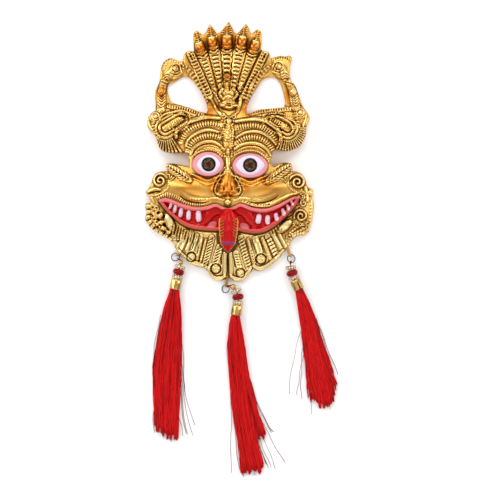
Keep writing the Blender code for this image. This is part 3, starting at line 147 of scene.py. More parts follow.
# Each bundle of thread in face units: its left and right edge at some heights, the height where its
# threads end by their place across it, and how many threads it has
BUNDLES = {
    "left": [{"edges": rows("-2 -35 -29.9  -7.5 -35.9 -29.7  -14 -38.6 -28.9  -26.2 -41.4 -28.3  "
                            "-48.4 -45.8 -28.6  -70.6 -45.1 -29.6  -95 -44 -30.6", 3),
              "ends": rows("-1 -89  -0.75 -91  -0.45 -89.4  -0.2 -93  0.3 -94.4  0.7 -93.4  "
                           "1 -94"), "threads": 380}],
    "middle": [{"edges": rows("-17.6 2.4 6.2  -20.6 1.3 6.3  -23.6 0.2 6.9  -37.6 -1.1 9.2  "
                              "-60.4 0.4 12  -76 1.6 13.9  -94.8 4.6 16.6  -116 7.3 22.6", 3),
                "ends": rows("-1 -114  -0.7 -115.2  -0.2 -113.8  0.4 -114.6  1 -111.4"),
                "threads": 310},
               {"edges": rows("-17.6 3.4 6  -37.6 6 9.2  -60.4 8.6 12.9  -76 11.6 17.2  -84 14.8 20  "
                              "-96 18.4 23.8", 3),
                "ends": rows("-1 -95  0 -94.2  0.5 -92.6  1 -90.2"), "threads": 110}],
    "right": [{"edges": rows("-1.2 38.8 41.6  -3.6 39.3 43.4  -6.4 39.8 45.2  -23.8 42.7 52.7  "
                             "-37 44.3 56.6  -49.6 45.2 61  -62 46.6 64.6  -77 48.6 67", 3),
               "ends": rows("-1 -70  -0.4 -74.6  -0.1 -75.8  0.35 -74  0.7 -69  1 -62.6"),
               "threads": 360}],
}
# Loose threads: where each leaves its bundle, a place on its way and its end
STRAYS = {
    "left": """
-28.8 -30 -27.6 -58 -20.8 -86.2  -28.8 -34 -28.2 -62 -21.6 -92.8  -28.9 -38 -28.6 -66 -24.9 -92
-29.2 -44 -29 -68 -25.8 -91.4  -41 -20 -44.6 -38 -45.8 -52  -44 -60 -45.3 -78 -45.2 -91
-36 -70 -35.6 -86 -35 -96.2  -38.5 -70 -39.4 -84 -39.5 -93.6  -28.6 -30 -27.2 -52 -26.9 -66
-31 -74 -29.2 -84 -27.3 -92.6""",
    "middle": """
1.4 -66 1.2 -88 1.1 -114.8  1.8 -70 3.6 -92 6.2 -113.2  12.4 -58 19 -78 25.9 -90.6
12.8 -60 20.2 -80 27.2 -90.4  17 -78 25 -94 33.3 -108.6  16 -80 22.4 -98 28 -112.4
15.6 -84 19 -100 23.8 -112  15.8 -86 20.4 -100 25.4 -111.6  15.2 -82 18 -98 22.9 -109.8
8 -96 8.2 -108 8.5 -117.4  13 -98 14.2 -108 15.8 -116.2""",
    "right": """
43 -30 38.4 -48 35.8 -67.6  44.4 -44 42 -58 40.7 -68  46 -52 48 -66 49.8 -79.4
52.6 -22 58 -40 62.8 -55  53 -24 59 -40 65.4 -56  44 -40 43.2 -56 43.4 -71  56 -50 58 -64 60.4 -76.4"""}


def bent_stretch(before, a, b, after, steps):
    """Points from a up to b on the cubic whose ends run parallel to their neighbours."""
    t = (np.arange(steps) / steps)[:, None]
    return 0.5 * (2 * a + (b - before) * t + (2 * before - 5 * a + 4 * b - after) * t ** 2
                  + (3 * a - before - 3 * b + after) * t ** 3)


def loop_points(points, steps=OUTLINE_STEPS):
    """A closed curve through the points in order, which turns sharply at the marked corners."""
    place, corner = points[:, :2], points[:, 2] > 0
    count = len(place)
    pieces = []
    for i in range(count):
        a, b = place[i], place[(i + 1) % count]
        before = 2 * a - b if corner[i] else place[i - 1]
        after = 2 * b - a if corner[(i + 1) % count] else place[(i + 2) % count]
        pieces.append(bent_stretch(before, a, b, after, steps))
    return np.concatenate(pieces)


def path_points(points, steps=6):
    """An open curve through the points in order."""
    place = np.array(points, float)
    if len(place) == 2:
        return place
    pieces = []
    for i in range(len(place) - 1):
        a, b = place[i], place[i + 1]
        before = place[i - 1] if i else 2 * a - b
        after = place[i + 2] if i + 2 < len(place) else 2 * b - a
        pieces.append(bent_stretch(before, a, b, after, steps))
    return np.concatenate(pieces + [place[-1:]])


def crossed(x, y, ax, ay, bx, by):
    """Whether a line from each place towards +X crosses the stretch from a to b."""
    if ay == by:
        return np.zeros(x.shape, bool)
    return ((ay > y) != (by > y)) & (x < (bx - ax) * (y - ay) / (by - ay) + ax)


def distance_inside(x, y, loop):
    """Distance from each point to a closed outline, positive inside it."""
    nearest = np.full(x.shape, 1e18)
    inside = np.zeros(x.shape, bool)
    for (ax, ay), (bx, by) in zip(loop, np.roll(loop, -1, axis=0)):
        ex, ey = bx - ax, by - ay
        px, py = x - ax, y - ay
        t = np.clip((px * ex + py * ey) / (ex * ex + ey * ey), 0, 1)
        nearest = np.minimum(nearest, (px - t * ex) ** 2 + (py - t * ey) ** 2)
        inside ^= crossed(x, y, ax, ay, bx, by)
    return np.where(inside, 1.0, -1.0) * np.sqrt(nearest)


def distance_in_plate(x, y, loops):
    """Distance inside the first outline and outside the others."""
    edge = distance_inside(x, y, loops[0])
    for loop in loops[1:]:
        edge = np.minimum(edge, -distance_inside(x, y, loop))
    return edge


def nearest_on(places, loops):
    """The point of the outlines nearest to each place."""
    start = np.concatenate(loops)
    step = np.concatenate([np.roll(loop, -1, axis=0) - loop for loop in loops])
    offset = places[:, None] - start[None]
    t = np.clip((offset * step).sum(2) / (step * step).sum(1), 0, 1)
    found = start + t[..., None] * step
    best = ((places[:, None] - found) ** 2).sum(2).argmin(1)
    return found[np.arange(len(places)), best]


def distance_along(x, y, path):
    """Distance from a path, how far along it the nearest point lies, and the path's length."""
    nearest = np.full(x.shape, 1e18)
    run = np.zeros(x.shape)
    length = 0.0
    for (ax, ay), (bx, by) in zip(path[:-1], path[1:]):
        ex, ey = bx - ax, by - ay
        size = math.hypot(ex, ey)
        px, py = x - ax, y - ay
        t = np.clip((px * ex + py * ey) / size ** 2, 0, 1)
        gap = (px - t * ex) ** 2 + (py - t * ey) ** 2
        closer = gap < nearest
        nearest = np.where(closer, gap, nearest)
        run = np.where(closer, length + t * size, run)
        length += size
    return np.sqrt(nearest), run, length


def ease(t):
    """A smooth step from 0 to 1."""
    t = np.clip(t, 0, 1)
    return t * t * (3 - 2 * t)


def round_top(t):
    """A half circle across t from -1 to 1."""
    return np.sqrt(np.clip(1 - t * t, 0, 1))


def soft_top(t):
    """A smooth bell across t from -1 to 1."""
    return 0.5 + 0.5 * np.cos(np.pi * np.clip(t, -1, 1))


def flat_top(t):
    """A flat plateau across t from -1 to 1, with short rounded shoulders."""
    return ease((1 - np.abs(t)) / 0.35)


def blend_max(a, b, soft):
    """The higher of two heights, rounded where they meet."""
    return 0.5 * (a + b + np.sqrt((a - b) ** 2 + soft * soft)) - 0.25 * soft


def turned(x, y, centre, turn):
    """Places seen from a centre, along axes that are turned so many degrees."""
    c, s = math.cos(math.radians(turn)), math.sin(math.radians(turn))
    return (x - centre[0]) * c + (y - centre[1]) * s, (y - centre[1]) * c - (x - centre[0]) * s


def oval(x, y, centre, reach, turn=0.0):
    """Distance from a centre, as a share of an oval's reach that way."""
    u, v = turned(x, y, centre, turn)
    return np.hypot(u / reach[0], v / reach[1])


def spread(values, radius):
    """The mean of a grid over a square of so many cells each way round every point."""
    for axis in (0, 1):
        padded = np.pad(values, [(radius + 1, radius) if a == axis else (0, 0) for a in (0, 1)], "edge")
        total = np.cumsum(padded, axis=axis)
        size = values.shape[axis]
        after = np.take(total, np.arange(2 * radius + 1, 2 * radius + 1 + size), axis=axis)
        before = np.take(total, np.arange(size), axis=axis)
        values = (after - before) / (2 * radius + 1)
    return values


# The large domes: height over the back, middle, reach, how square their rise is and how softly they join
DOMES = rows("""
19 0 58 47 37 2.2 2.5  14 0 84 34 23 2 2.5  6 -0.8 118 27 40 2 1
6.8 -38 91.2 14 16 2 1  6.5 -40.2 50 12 30 2 1  6.8 38 91.2 14 16 2 1  6.5 40.2 50 12 30 2 1
""", 7)


def body_rise(x, y):
    """The large forms under the carving, as a rise over the rim: a low cone under the domes."""
    cone = 8.5 * np.clip(1 - np.hypot((x + 0.5) / 40, (y - 38) / 40), 0, 1) ** 0.9 - 0.6
    rise = blend_max(0 * x, cone, 1.0)
    for height, middle_x, middle_y, wide, tall, power, soft in DOMES:
        share = oval(x, y, (middle_x, middle_y), (wide, tall))
        dome = height * np.sqrt(np.clip(1 - share ** power, 0, 1)) - RIM_THICKNESS
        rise = blend_max(rise, dome, soft)
    return rise


class Relief:
    """Heights over a grid of places on the face, carved one form at a time."""

    def __init__(self, across, up):
        self.across, self.up = across, up
        self.x, self.y = np.meshgrid(across, up)
        self.rise = body_rise(self.x, self.y)
        # Light and shade painted into the gilding's colour: orange painted reflection and shade where
        # positive, pale painted highlight where negative
        self.warmth = np.zeros(self.x.shape)

    def near(self, points, reach):
        """The block of the grid within reach of the box round some points."""
        low = np.min(points, axis=0) - reach
        high = np.max(points, axis=0) + reach
        return (slice(*np.searchsorted(self.up, (low[1], high[1]))),
                slice(*np.searchsorted(self.across, (low[0], high[0]))))

    def ridge(self, points, width, height, taper=0.0, shape=round_top):
        """A raised line, or a groove where the height is negative, along a curve."""
        path = path_points(points)
        w = self.near(path, width)
        gap, run, length = distance_along(self.x[w], self.y[w], path)
        ends = np.clip(np.minimum(run, length - run) / (0.3 * length), 0, 1)
        half = 0.5 * width * (1 - taper * (1 - ends))
        self.rise[w] += np.where(gap < half, height * shape(np.clip(gap / half, 0, 1)), 0.0)

    def cut(self, points, width, depth, taper=0.5):
        """A fine groove along a curve, thinner at its ends."""
        self.ridge(points, width, -depth, taper, soft_top)

    def ribs(self, points, width, pitch, depth, sharp=1.0):
        """Grooves across a band along a curve, every so far."""
        path = path_points(points)
        w = self.near(path, width)
        gap, run, length = distance_along(self.x[w], self.y[w], path)
        count = max(1, round(length / pitch))
        wave = 0.5 - 0.5 * np.cos(2 * np.pi * run * count / length)
        band = ease((0.5 * width - gap) / (0.12 * width)) * (run > 0) * (run < length)
        self.rise[w] -= depth * band * (1 - wave) ** sharp

    def beads(self, points, radius, pitch, height):
        """A row of round beads along a curve."""
        path = path_points(points)
        w = self.near(path, radius * 2)
        gap, run, length = distance_along(self.x[w], self.y[w], path)
        step = length / max(1, round(length / pitch))
        off = run - np.round(run / step) * step
        self.rise[w] += height * round_top(np.clip(np.hypot(gap, off) / radius, 0, 1))

    def mound(self, centre, reach, height, turn=0.0, shape=round_top):
        """An oval swelling, or a hollow where the height is negative."""
        w = self.near([centre], max(reach) * 1.05)
        share = np.clip(oval(self.x[w], self.y[w], centre, reach, turn), 0, 1)
        self.rise[w] += height * shape(share)

    def ring(self, centre, radius, width, height):
        """A raised or sunk circle."""
        w = self.near([centre], radius + width)
        gap = np.abs(np.hypot(self.x[w] - centre[0], self.y[w] - centre[1]) - radius)
        self.rise[w] += height * soft_top(2 * gap / width)

    def spiral(self, centre, radius, turns, width, height, start, hand):
        """A ridge that winds in to a centre."""
        t = np.linspace(0, 1, int(16 * turns) + 1)
        angle = math.radians(start) + hand * 2 * math.pi * turns * t
        reach = radius * (1 - 0.86 * t)
        path = np.stack([centre[0] + reach * np.cos(angle), centre[1] + reach * np.sin(angle)], 1)
        self.ridge(path, width, height)

    def pebbles(self, centre, reach, pitch, height, seed):
        """Small irregular grains over an oval, such as punched or cast texture."""
        chance = np.random.default_rng(int(seed))
        count = max(4, int(math.pi * reach[0] * reach[1] / (0.8 * pitch ** 2)))
        angle = chance.uniform(0, 2 * math.pi, count)
        far = np.sqrt(chance.uniform(0, 1, count))
        for k in range(count):
            place = (centre[0] + reach[0] * far[k] * math.cos(angle[k]),
                     centre[1] + reach[1] * far[k] * math.sin(angle[k]))
            size = pitch * chance.uniform(0.35, 0.6)
            self.mound(place, (size, size * chance.uniform(0.7, 1.0)), height * chance.uniform(0.5, 1.0),
                       chance.uniform(0, 180))

    def tint(self, centre, reach, amount, turn=0.0):
        """Paints a light tone over an oval: warmer orange as painted reflection or shade, or paler gold as a
        painted highlight where the amount is negative.
        """
        w = self.near([centre], max(reach) * 1.05)
        share = np.clip(oval(self.x[w], self.y[w], centre, reach, turn), 0, 1)
        self.warmth[w] += amount * soft_top(share)

    def fold(self, points, width, height):
        """A raised line with a wider groove round it."""
        self.ridge(points, width + 1.6, -0.8, 0.25, soft_top)
        self.ridge(points, width, height, 0.25)

    def band(self, points, width):
        """A raised band with sharp ribs across it."""
        self.ridge(points, width, 1.5)
        self.ribs(points, width * 0.98, 1.55, 1.25, 1.3)

    def scroll(self, centre, radius, turns, width, height, start, hand):
        """A spiral on a soft swelling, with a pit at its heart."""
        self.mound(centre, (radius * 1.2, radius * 1.2), 0.5, shape=soft_top)
        self.spiral(centre, radius, turns, width, height, start, hand)
        self.mound(centre, (0.9, 0.9), -1.0)

    def strokes(self, table):
        """Carves a table of strokes: on each row a tool, its sizes in order and, after a colon, its places.

        Commas part the tools of one row, and bars its curves. A tool with a middle after a slash
        works on both sides of that place across, and its places are read from there.
        """
        along = {"ridge": self.ridge, "cut": self.cut, "ribs": self.ribs, "beads": self.beads,
                 "fold": self.fold, "band": self.band}
        ovals = {"mound": self.mound, "tint": self.tint, "pebbles": self.pebbles}
        rounds = {"ring": self.ring, "spiral": self.spiral, "scroll": self.scroll}
        shapes = {"soft": soft_top, "flat": flat_top}
        for row in table.strip().splitlines():
            heads, places = row.split(":")
            for head, curve in itertools.product(heads.split(","), places.split("|")):
                tool, *sizes = head.split()
                sizes = [shapes[size] if size in shapes else float(size) for size in sizes]
                tool, mirrored, middle = tool.partition("/")
                for side in (1, -1) if mirrored else (1,):
                    line = rows(curve) * (side, 1) + (float(middle or 0), 0)
                    if tool in along:
                        along[tool](line, *sizes)
                    for place in line:
                        if tool in rounds:
                            rounds[tool](place, *sizes)
                        if tool in ovals:
                            turn = [side * size for size in sizes[3:4]]
                            ovals[tool](place, sizes[:2], sizes[2], *turn, *sizes[4:])


# The crown is a fan of five snakes; each: angle from +Y, reach, half its head's width, lean of its head
FAN = (-1.5, 94.0)
SNAKES = rows("-18.9 49 3 -22.4  -9.9 50.3 2.9 -9.6  0.2 50.2 3.3 0.6  10.6 50.8 2.9 10  "
              "19.4 50.2 2.9 21.5", 4)
SNAKE_EDGES = (-24.2, -14.4, -4.6, 4.9, 15.4, 24.6)
# The crown's bands down both sides, with their ribs and seams
CROWN_STROKES = """
ridge 5.2 1.9 0 flat, ribs 3.6 2 1.2 1.2 : -11.8 111  -23.2 137 | 9.4 111  21.2 136.6
cut 0.7 0.8 : -13.8 112  -25.1 137.4 | -9.8 110.4  -21.3 136 | 7.4 112  19.3 137 | 11.4 110.4  23.1 135.6
ridge/-1 3.6 1 : 21.4 133  22.9 136.4
cut/-1 1.5 1.9 0.3 : 20.9 132.6  22.8 136.2
ridge 4.2 1.3 0.4 flat, ribs 3.7 2.4 1.1 1.2 : -26.7 129.2  -20 121  -13.6 108
ridge 4.2 1.3 0.4 flat, ribs 3.7 2.4 1.1 1.2 : 24.5 129.2  16.6 121  10.2 108
cut 0.9 1 : -24 131  -17.4 122  -11.8 110.5 | 22 131  14.4 122  9 110.5
"""


def fan_point(angle, reach):
    """A place on the fan, by its angle from +Y and its reach."""
    turn = math.radians(angle)
    return np.array([FAN[0] + reach * math.sin(turn), FAN[1] + reach * math.cos(turn)])


def carve_crown(face):
    """Hooded snakes: laddered columns, dark seams between them, full heads, collars and leaf tips."""
    reach = np.hypot(face.x - FAN[0], face.y - FAN[1])
    angle = np.degrees(np.arctan2(face.x - FAN[0], face.y - FAN[1]))
    ladders = ((2.2, 0.58, 1.1), (2.4, 0.66, 1.3), (2.7, 0.70, 1.5), (2.4, 0.66, 1.3), (2.2, 0.58, 1.1))
    for (_, far, _, _), low, high, ladder in zip(SNAKES, SNAKE_EDGES[:-1], SNAKE_EDGES[1:], ladders):
        pitch, core_share, depth = ladder
        across = (angle - 0.5 * (low + high)) / (0.5 * (high - low))
        column = (np.abs(across) < 1) & (reach < far - 2)
        grown = ease((reach - 19) / 5)
        rung = 0.5 + 0.5 * np.cos(2 * np.pi * (reach / pitch + 0.18 * across ** 2))
        rung = ease(rung / 0.62)
        core = ease((core_share - np.abs(across)) / 0.14)
        core = core * ease((far - 5 - reach) / 1.5) * ease((reach - 22) / 4)
        rail = np.exp(-((np.abs(across) - core_share - 0.08) / 0.07) ** 2) + np.exp(
            -((np.abs(across) - core_share - 0.27) / 0.05) ** 2)
        carved = 1.5 * soft_top(across * 0.8) * grown - depth * core * (1 - rung) - 0.55 * rail * grown
        face.rise += np.where(column, carved, 0.0)
    for edge in SNAKE_EDGES:
        face.cut([fan_point(edge, 20), fan_point(edge, 48)], 1.0, 1.1, taper=0.2)
    face.strokes(CROWN_STROKES)
    for angle_now, far, half, lean in SNAKES:
        turn = -0.8 * lean
        along = fan_point(angle_now, 1.0) - np.array(FAN)
        across = np.array([along[1], -along[0]])
        head = fan_point(angle_now, far + 0.1)
        face.mound(head, (half, half * 1.45), 3.4, turn)
        face.ridge([head - across * half * 0.7 + along * 2.2, head + along * 3.0,
                    head + across * half * 0.7 + along * 2.2], 1.3, 0.55, taper=0.6)
        # Painted reflection: an orange light tone over each head
        face.tint(head - along * 0.9, (half * 1.4, half * 1.9), 4.0, turn)
        # Painted highlight: a pale band on the top of each head
        face.tint(head + along * 2.8, (half * 1.0, 1.8), -3.9, turn)
        for drop, width in ((4.3, 1.6), (6.3, 1.4)):
            collar = fan_point(angle_now, far - drop)
            face.ridge([collar - across * half * 1.0 + along * 1.0, collar - along * 0.3,
                        collar + across * half * 1.0 + along * 1.0], width, 1.5, taper=0.3)
            face.cut([collar - across * half * 1.0 - along * 0.1, collar - along * 1.2,
                      collar + across * half * 1.0 - along * 0.1], 0.8, 0.9, taper=0.3)
        root, tip = fan_point(angle_now * 0.985, far + 3.4), fan_point(angle_now * 0.96, far + 10.6)
        face.ridge([root, tip], half * 2.0, 1.4, taper=0.7, shape=soft_top)
        face.ridge([root, tip], 0.9, 0.4)
        # Painted shade: a darker orange tone along each leaf tip
        face.tint(root + (tip - root) * 0.45, (half * 1.2, 4.6), 0.8, turn)
        for side in (-1, 1):
            for k in range(5):
                start = root + (tip - root) * (0.17 * k - 0.04) + across * side * 0.5
                end = start + along * 1.0 + across * side * half * (1.3 - 0.2 * k)
                face.cut([start, end], 0.9, 2.3, taper=0.0)
    for angle_now in SNAKE_EDGES[1:-1]:
        face.cut([fan_point(angle_now, 45), fan_point(angle_now, 57.5)], 2.7, 2.2, taper=0.3)
        for off in (-1.1, 1.1):
            face.cut([fan_point(angle_now + off, 50), fan_point(angle_now + off, 56)], 1.1, 1.8, taper=0.0)
        # Painted shade: an orange tone in the dark hollow between heads
        face.tint(fan_point(angle_now, 51), (2.8, 5.5), 2.0)


# Two rows paint an orange reflection tone, on the figure's head and in the hollows beside the figure
FIGURE_STROKES = """
mound 7 11.5 1.5 0 soft : -0.9 112.5
cut 1 0.5 : -4.6 121.5  -3.4 124  -1 124.9  1.4 124  2.6 121.5
mound 2.5 2.2 2.7 : -1.1 122.2
tint 3 2.6 1.2 : -1.1 122.4
mound 3.1 3 2.9 : -1 118.2
ridge 1.1 0.9 : -3.7 120.3  -1 121  1.7 120.3
mound 0.6 0.5 -0.9 : -2.1 119  0.1 119
ridge 1 1 : -1.1 119.2  -1.1 116.4  -0.6 114.6
cut 0.7 0.8 : -2.5 116.6  -1 116  0.6 116.6
mound 3.9 3.7 2.1 : -0.5 112.6
mound 4.3 3.4 2.6 : -0.3 108.4
beads 0.55 1.1 0.8 : -3.2 115  -0.8 112.4  2 115
ridge 1.9 1.8 : -3.7 115.4  -5.5 112  -3.5 109 | 2.5 115.4  4.7 112  2.9 109
cut 1.1 1.5 : -5.2 115.8  -7 112.2  -5.3 108.2 | 4 115.8  6.2 112.2  4.7 108.2
mound/-0.3 2.7 1.7 1.7 -14 : 3.4 106
ridge 2 1.6 : -4.8 105.4  0 104.2  4.6 105.2
cut 0.9 1 : -3.4 107.3  0 106.2  3.4 107.2 | -9 108.4  -6 102.8  -3.6 100
cut 0.9 1.2 : -4.6 103.4  0 102.4  4.6 103.2
mound 2.7 2.9 1.6, ring 1.75 0.9 -1.2, mound 0.8 0.8 0.8 : -8 114.9  5.9 115.6
beads 0.95 2 1.1 : -7.4 111.2  -6 108.6  -5 106.4
beads 0.95 2 0.9 : 6 111.6  5.9 109
ridge 1.7 1.5 : -10.6 108.8  -7.4 103  -4.8 99.4
ridge 2.4 1.9 : 7.2 110.8  6.4 106.4  5 101.6
ridge 1.3 1.1 : -5.4 101.6  -1.4 98.4  2.6 95.6 | 5.4 101.2  1.4 98.4  -2.6 95.6
mound 2.9 2.9 1.4 0 soft : 0 96
ring 1.9 0.9 -1.1, ring 2.9 0.8 0.6 : 0 95.8
tint/-0.6 5 8.5 1.5 : 11 102.4
"""


def carve_seated_figure(face):
    """The small seated figure at the foot of the snakes, between two rosettes and two rails."""
    face.strokes(FIGURE_STROKES)
    for centre in rows("-8 114.9  5.9 115.6"):
        for turn in 2 * math.pi * np.arange(7) / 7:
            face.mound(centre + (2.7 * math.cos(turn), 2.8 * math.sin(turn)), (0.65, 0.65), 0.7)


def carve_bird(face, bird):
    """A bird with its head against the crown, standing on the wing below."""
    head, eye, cheek, neck, knee, foot = bird["body"]
    face.mound(head, (6.8, 6.2), 2.4, -30 * bird["side"])
    face.mound(eye, (3.0, 3.0), 1.0)
    face.ring(eye, 2.15, 1.0, -1.5)
    face.mound(eye, (1.2, 1.2), 0.5)
    face.ridge([head, cheek, neck], 5.0, 1.6, taper=0.2)
    face.ridge([neck, knee], 4.6, 1.8)
    face.ridge([knee, foot], 5.4, 1.9)
    face.ridge(bird["crest"], 2.6, 1.0)
    face.ribs(bird["crest"], 2.6, 1.45, 0.9)
    for k in range(3):
        face.cut(bird["gill"] + (0.25 * k * bird["side"], -1.5 * k), 0.85, 1.1)
        face.cut(bird["beak"] + (1.75 * k * bird["side"], -0.3 * k), 1.0, 1.3, taper=0.3)
    face.cut([eye + (-3.6, -2.6), eye + (0.0, -3.7), eye + (3.2, -2.4)], 0.9, 1.1)
    face.cut([neck + (-2.6, 0.9), neck + (2.6, -0.8)], 1.3, 1.7, taper=0.2)
    face.mound(knee + (0.0, 0.6), (2.0, 3.0), 0.7)
    # Painted reflection: an orange light tone over the knee
    face.tint(knee + bird["warm"], (3.2, 7.0), 1.4)
    for k in range(5):
        share = k / 6
        centre = foot + (knee - foot) * share + (0.0, 0.6)
        face.cut([centre + (-2.2, 2.0), centre, centre + (2.2, 2.0)], 0.85, 1.15, taper=0.2)


# Each bird: the side it is on; its head, eye, cheek, neck, knee and foot; crest, gill and beak; the offset
# from its knee of a spot of painted orange reflection
BIRDS = (
    {"side": -1, "body": rows("-33.4 127.2  -31.9 127.5  -36.5 122.9  -39.3 119  -40.5 113.5  -40.6 103.5"),
     "crest": rows("-39.2 127.6  -38.2 130.8  -35.4 132.5  -31.8 131.9  -28.6 130.9"),
     "gill": rows("-39.6 122.6  -37 123.9  -34.6 122.2"), "beak": rows("-27 130.2  -25.9 125.6"),
     "warm": (0.0, -0.5)},
    {"side": 1, "body": rows("32 127.6  29.6 128.9  33.4 123  36 118.8  38.2 113.2  40 104.5"),
     "crest": rows("26.5 132.8  30.2 133.8  34 133.5  36.4 133"),
     "gill": rows("35.8 123  33.4 124.6  31.2 123.5"), "beak": rows("26 131.2  24.4 126.6"),
     "warm": (-3.4, -2.0)})

# Each wing: the two ends of its tongue, the first and last angle of its fan and how many flutes it has
WINGS = rows("-38.2 91.6 -29 97 142 254 14  35 91.4 26 96.6 84 212 17", 7)
WING_STROKES = """
ridge 3 1.5 0 flat, ribs 2.4 1.5 1.25 : -36.2 104.9  -29 103.7  -22 101.9  -15.8 99.4
ridge 3 1.5 0 flat, ribs 2.4 1.5 1.25 : 13.4 100.3  18 102  25 102.7  32 103  37.4 103.4
ridge 1.7 1.6 0.3 : -41.6 97.6  -38 100.3  -32 101.8  -26 101.3  -20 99.4
ridge 1.7 1.6 0.3 : 21.6 97.6  27 98.9  32 97.8  36.2 95  37.8 91.4
beads 0.6 1.3 0.9 : -40 96.6  -36 99  -31 100.1  -26 99.8  -21 98.6
beads 0.6 1.3 0.9 : 19 99.6  25 100.8  31 100.5  36.4 98.8  39.2 95.4  39.6 91.6
cut 1.1 1.4 : -32 98.6  -28 98.9  -24.6 98.2 | 22 99.4  28 100  34 98.9
ridge 2.4 1.4, ribs 2.4 1.7 1 : -45.6 95.6  -45.4 92.6  -43.6 89.4  -41.9 86.2
ridge 2.4 1.4, ribs 2.4 1.7 1 : 38.9 103.4  39.4 100  40.9 96.6  41.6 93
ridge 1.4 1.1 0.4 : -48.2 97.6  -48.2 94.6  -46.6 91.4  -44.2 88.2
ridge 1.4 1.1 0.4 : 46.2 99.6  45.6 96.8  44.4 93.4  44.8 89  43.4 84.8
mound 2.9 2.9 2.2, ring 1.6 0.9 -1.3, ring 3.4 1.1 0.8 : -44 98.9  42.7 101.2
pebbles 3.4 2.4 0.95 1 3 : -32.6 92.4
pebbles 3.4 2.4 0.95 1 4 : 32.4 92.6
"""


def carve_wings(face):
    """Wings: nested bands round a long tongue, with short flutes fanned round its outer end."""
    face.strokes(WING_STROKES)
    for *tongue, first, last, flutes in WINGS:
        tongue = np.array(tongue).reshape(2, 2)
        outer, inner = tongue
        w = face.near(tongue, 12.0)
        gap, run, _ = distance_along(face.x[w], face.y[w], tongue)
        for middle, width, height in ((0.0, 4.4, 1.6), (3.5, 2.0, 1.5), (5.6, 1.7, 1.3)):
            face.rise[w] += height * round_top(np.clip((gap - middle) / (0.5 * width), -1, 1))
        wave = 0.5 - 0.5 * np.cos(2 * np.pi * run / 1.35)
        face.rise[w] -= 0.8 * soft_top((gap - 5.6) / 0.9) * wave * (run > 0.01)
        w = face.near([outer], 16.0)
        x, y = face.x[w] - outer[0], face.y[w] - outer[1]
        reach, angle = np.hypot(x, y), np.mod(np.degrees(np.arctan2(x, y)), 360)
        share = (angle - first) / (last - first)
        fluted = np.abs(np.sin(math.pi * flutes * share))
        flute = 2.0 * fluted ** 0.75 * ease(reach - 6.6) - 0.8 * (1 - fluted) * ease(reach - 7.2)
        beads = soft_top((reach - 6.5) / 0.8) * (0.5 + 0.5 * np.cos(2 * np.pi * flutes * share))
        face.rise[w] += np.where((share > 0) & (share < 1), flute * (reach > 6.6) + 0.8 * beads, 0.0)
        face.ribs([0.6 * outer + 0.4 * inner, inner * 1.04 - outer * 0.04], 3.6, 1.35, 0.9)


# One row paints an orange reflection tone on the strip between the brows
BROWS_STROKES = """
fold 3 2.8 : -31.6 86.2  -31.4 89.6  -27.9 93.4  -21.2 96.5  -13.7 98.2  -5.7 97.6
fold 2.2 2.3 : -25.9 80.8  -24.8 84  -21.9 87  -17.3 89.5  -11.9 90.5  -6.2 89.2
fold 2.4 2.2 : -22.9 75.8  -21.5 79  -18.6 81.5  -14.8 83.2  -10.1 83.4  -5.6 81.4  -3.2 78.6
fold 1.5 1 : -21.4 75.4  -18.6 78.9  -14.8 80.8  -10.1 81  -6 79.4
fold 3 2.8 : 4.2 95.6  10 96.6  17.6 97  24.4 94.7  29.1 90.6  31 85.7  30.4 81.7
fold 2.2 2.3 : 4.2 85.7  9.6 88.7  15.5 89.6  20.2 88.6  24.4 85.9  27.8 82
fold 2.4 2.2 : 3.3 78.8  7.5 81.4  12.6 82.5  18 81.9  22.4 79  25 75
fold 1.5 1 : 4.4 77.4  8.6 79.6  13.6 80.4  18.2 79.4  22 76.6
band 4 : -29 83.6  -26.8 88  -23.2 91.2  -17.7 93.6  -11.7 94.5  -5.4 93.6
band 3.7 : -24.8 77.9  -22.9 82  -20.2 84.6  -15.9 86.4  -10.8 87.1  -5.6 86
band 4 : 4.6 91.9  10 93  16 93.3  21.5 91.5  25.8 88  28.9 82.9
band 3.7 : 4.6 82.6  9.3 85.4  14.8 86.2  19.6 85.1  23.4 82.5  26.4 78
beads 0.72 1.5 1 : -21.7 74.6  -18.4 77.1  -13.2 78.5  -8.2 77.9  -4.1 74.8
beads 0.72 1.5 1 : 3.4 75.4  8 77.5  13 78.2  18 77.1  23 73
ridge 6.6 1.4 0.5 : 0 95  -0.3 87  -0.6 77
ridge 4.4 0.9 0.4 : -0.6 93.4  -0.8 84  -0.7 76
ridge 2.8 1.2 0.4 : -0.7 79  -0.6 73  -0.5 67
pebbles 1.9 6.4 1.15 1.1 41 : -0.7 87
pebbles 1.5 3.8 0.95 1 42 : -0.7 77.6
ring 1.7 0.9 0.9 : -0.5 95.2
tint 1.5 1.6 2.6 : -0.8 80.2
beads/-0.5 0.75 1.5 0.8 : 2.7 94  2.9 88  2.4 80.6  1.9 74.6
pebbles 1.2 3.8 0.85 1 10 : -4.8 89.6
pebbles 0.9 2.6 0.8 0.8 20 : -4.4 80.6
spiral 1.9 1.1 0.8 0.8 90 -1 : -3.5 98.6
pebbles 1.2 3.8 0.85 1 12 : 3.8 89.6
pebbles 0.9 2.6 0.8 0.8 22 : 3.4 80.6
spiral 1.9 1.1 0.8 0.8 90 1 : 3.1 98.6
"""


def carve_brows(face):
    """Heavy folds over the eyes, ribbed bands between them, lashes, and the strip down the middle."""
    face.strokes(BROWS_STROKES)


# Each eye: centre, half length and half height of the white, and centre and reach of the lids
EYES = (((-12.1, 69.8), (7.0, 5.4), (-12.5, 69.9), (9.5, 7.3)),
        ((12.6, 69.3), (8.7, 5.7), (12.6, 69.0), (10.6, 7.4)))
IRIS = 4.3


def almond(x, y, centre, white):
    """Distance inside the white of an eye, which lies between two arcs that meet in points."""
    a, b = white
    radius = (a * a + b * b) / (2 * b)
    upper = radius - np.hypot(x - centre[0], y - centre[1] - b + radius)
    lower = radius - np.hypot(x - centre[0], y - centre[1] + b - radius)
    return np.minimum(upper, lower)


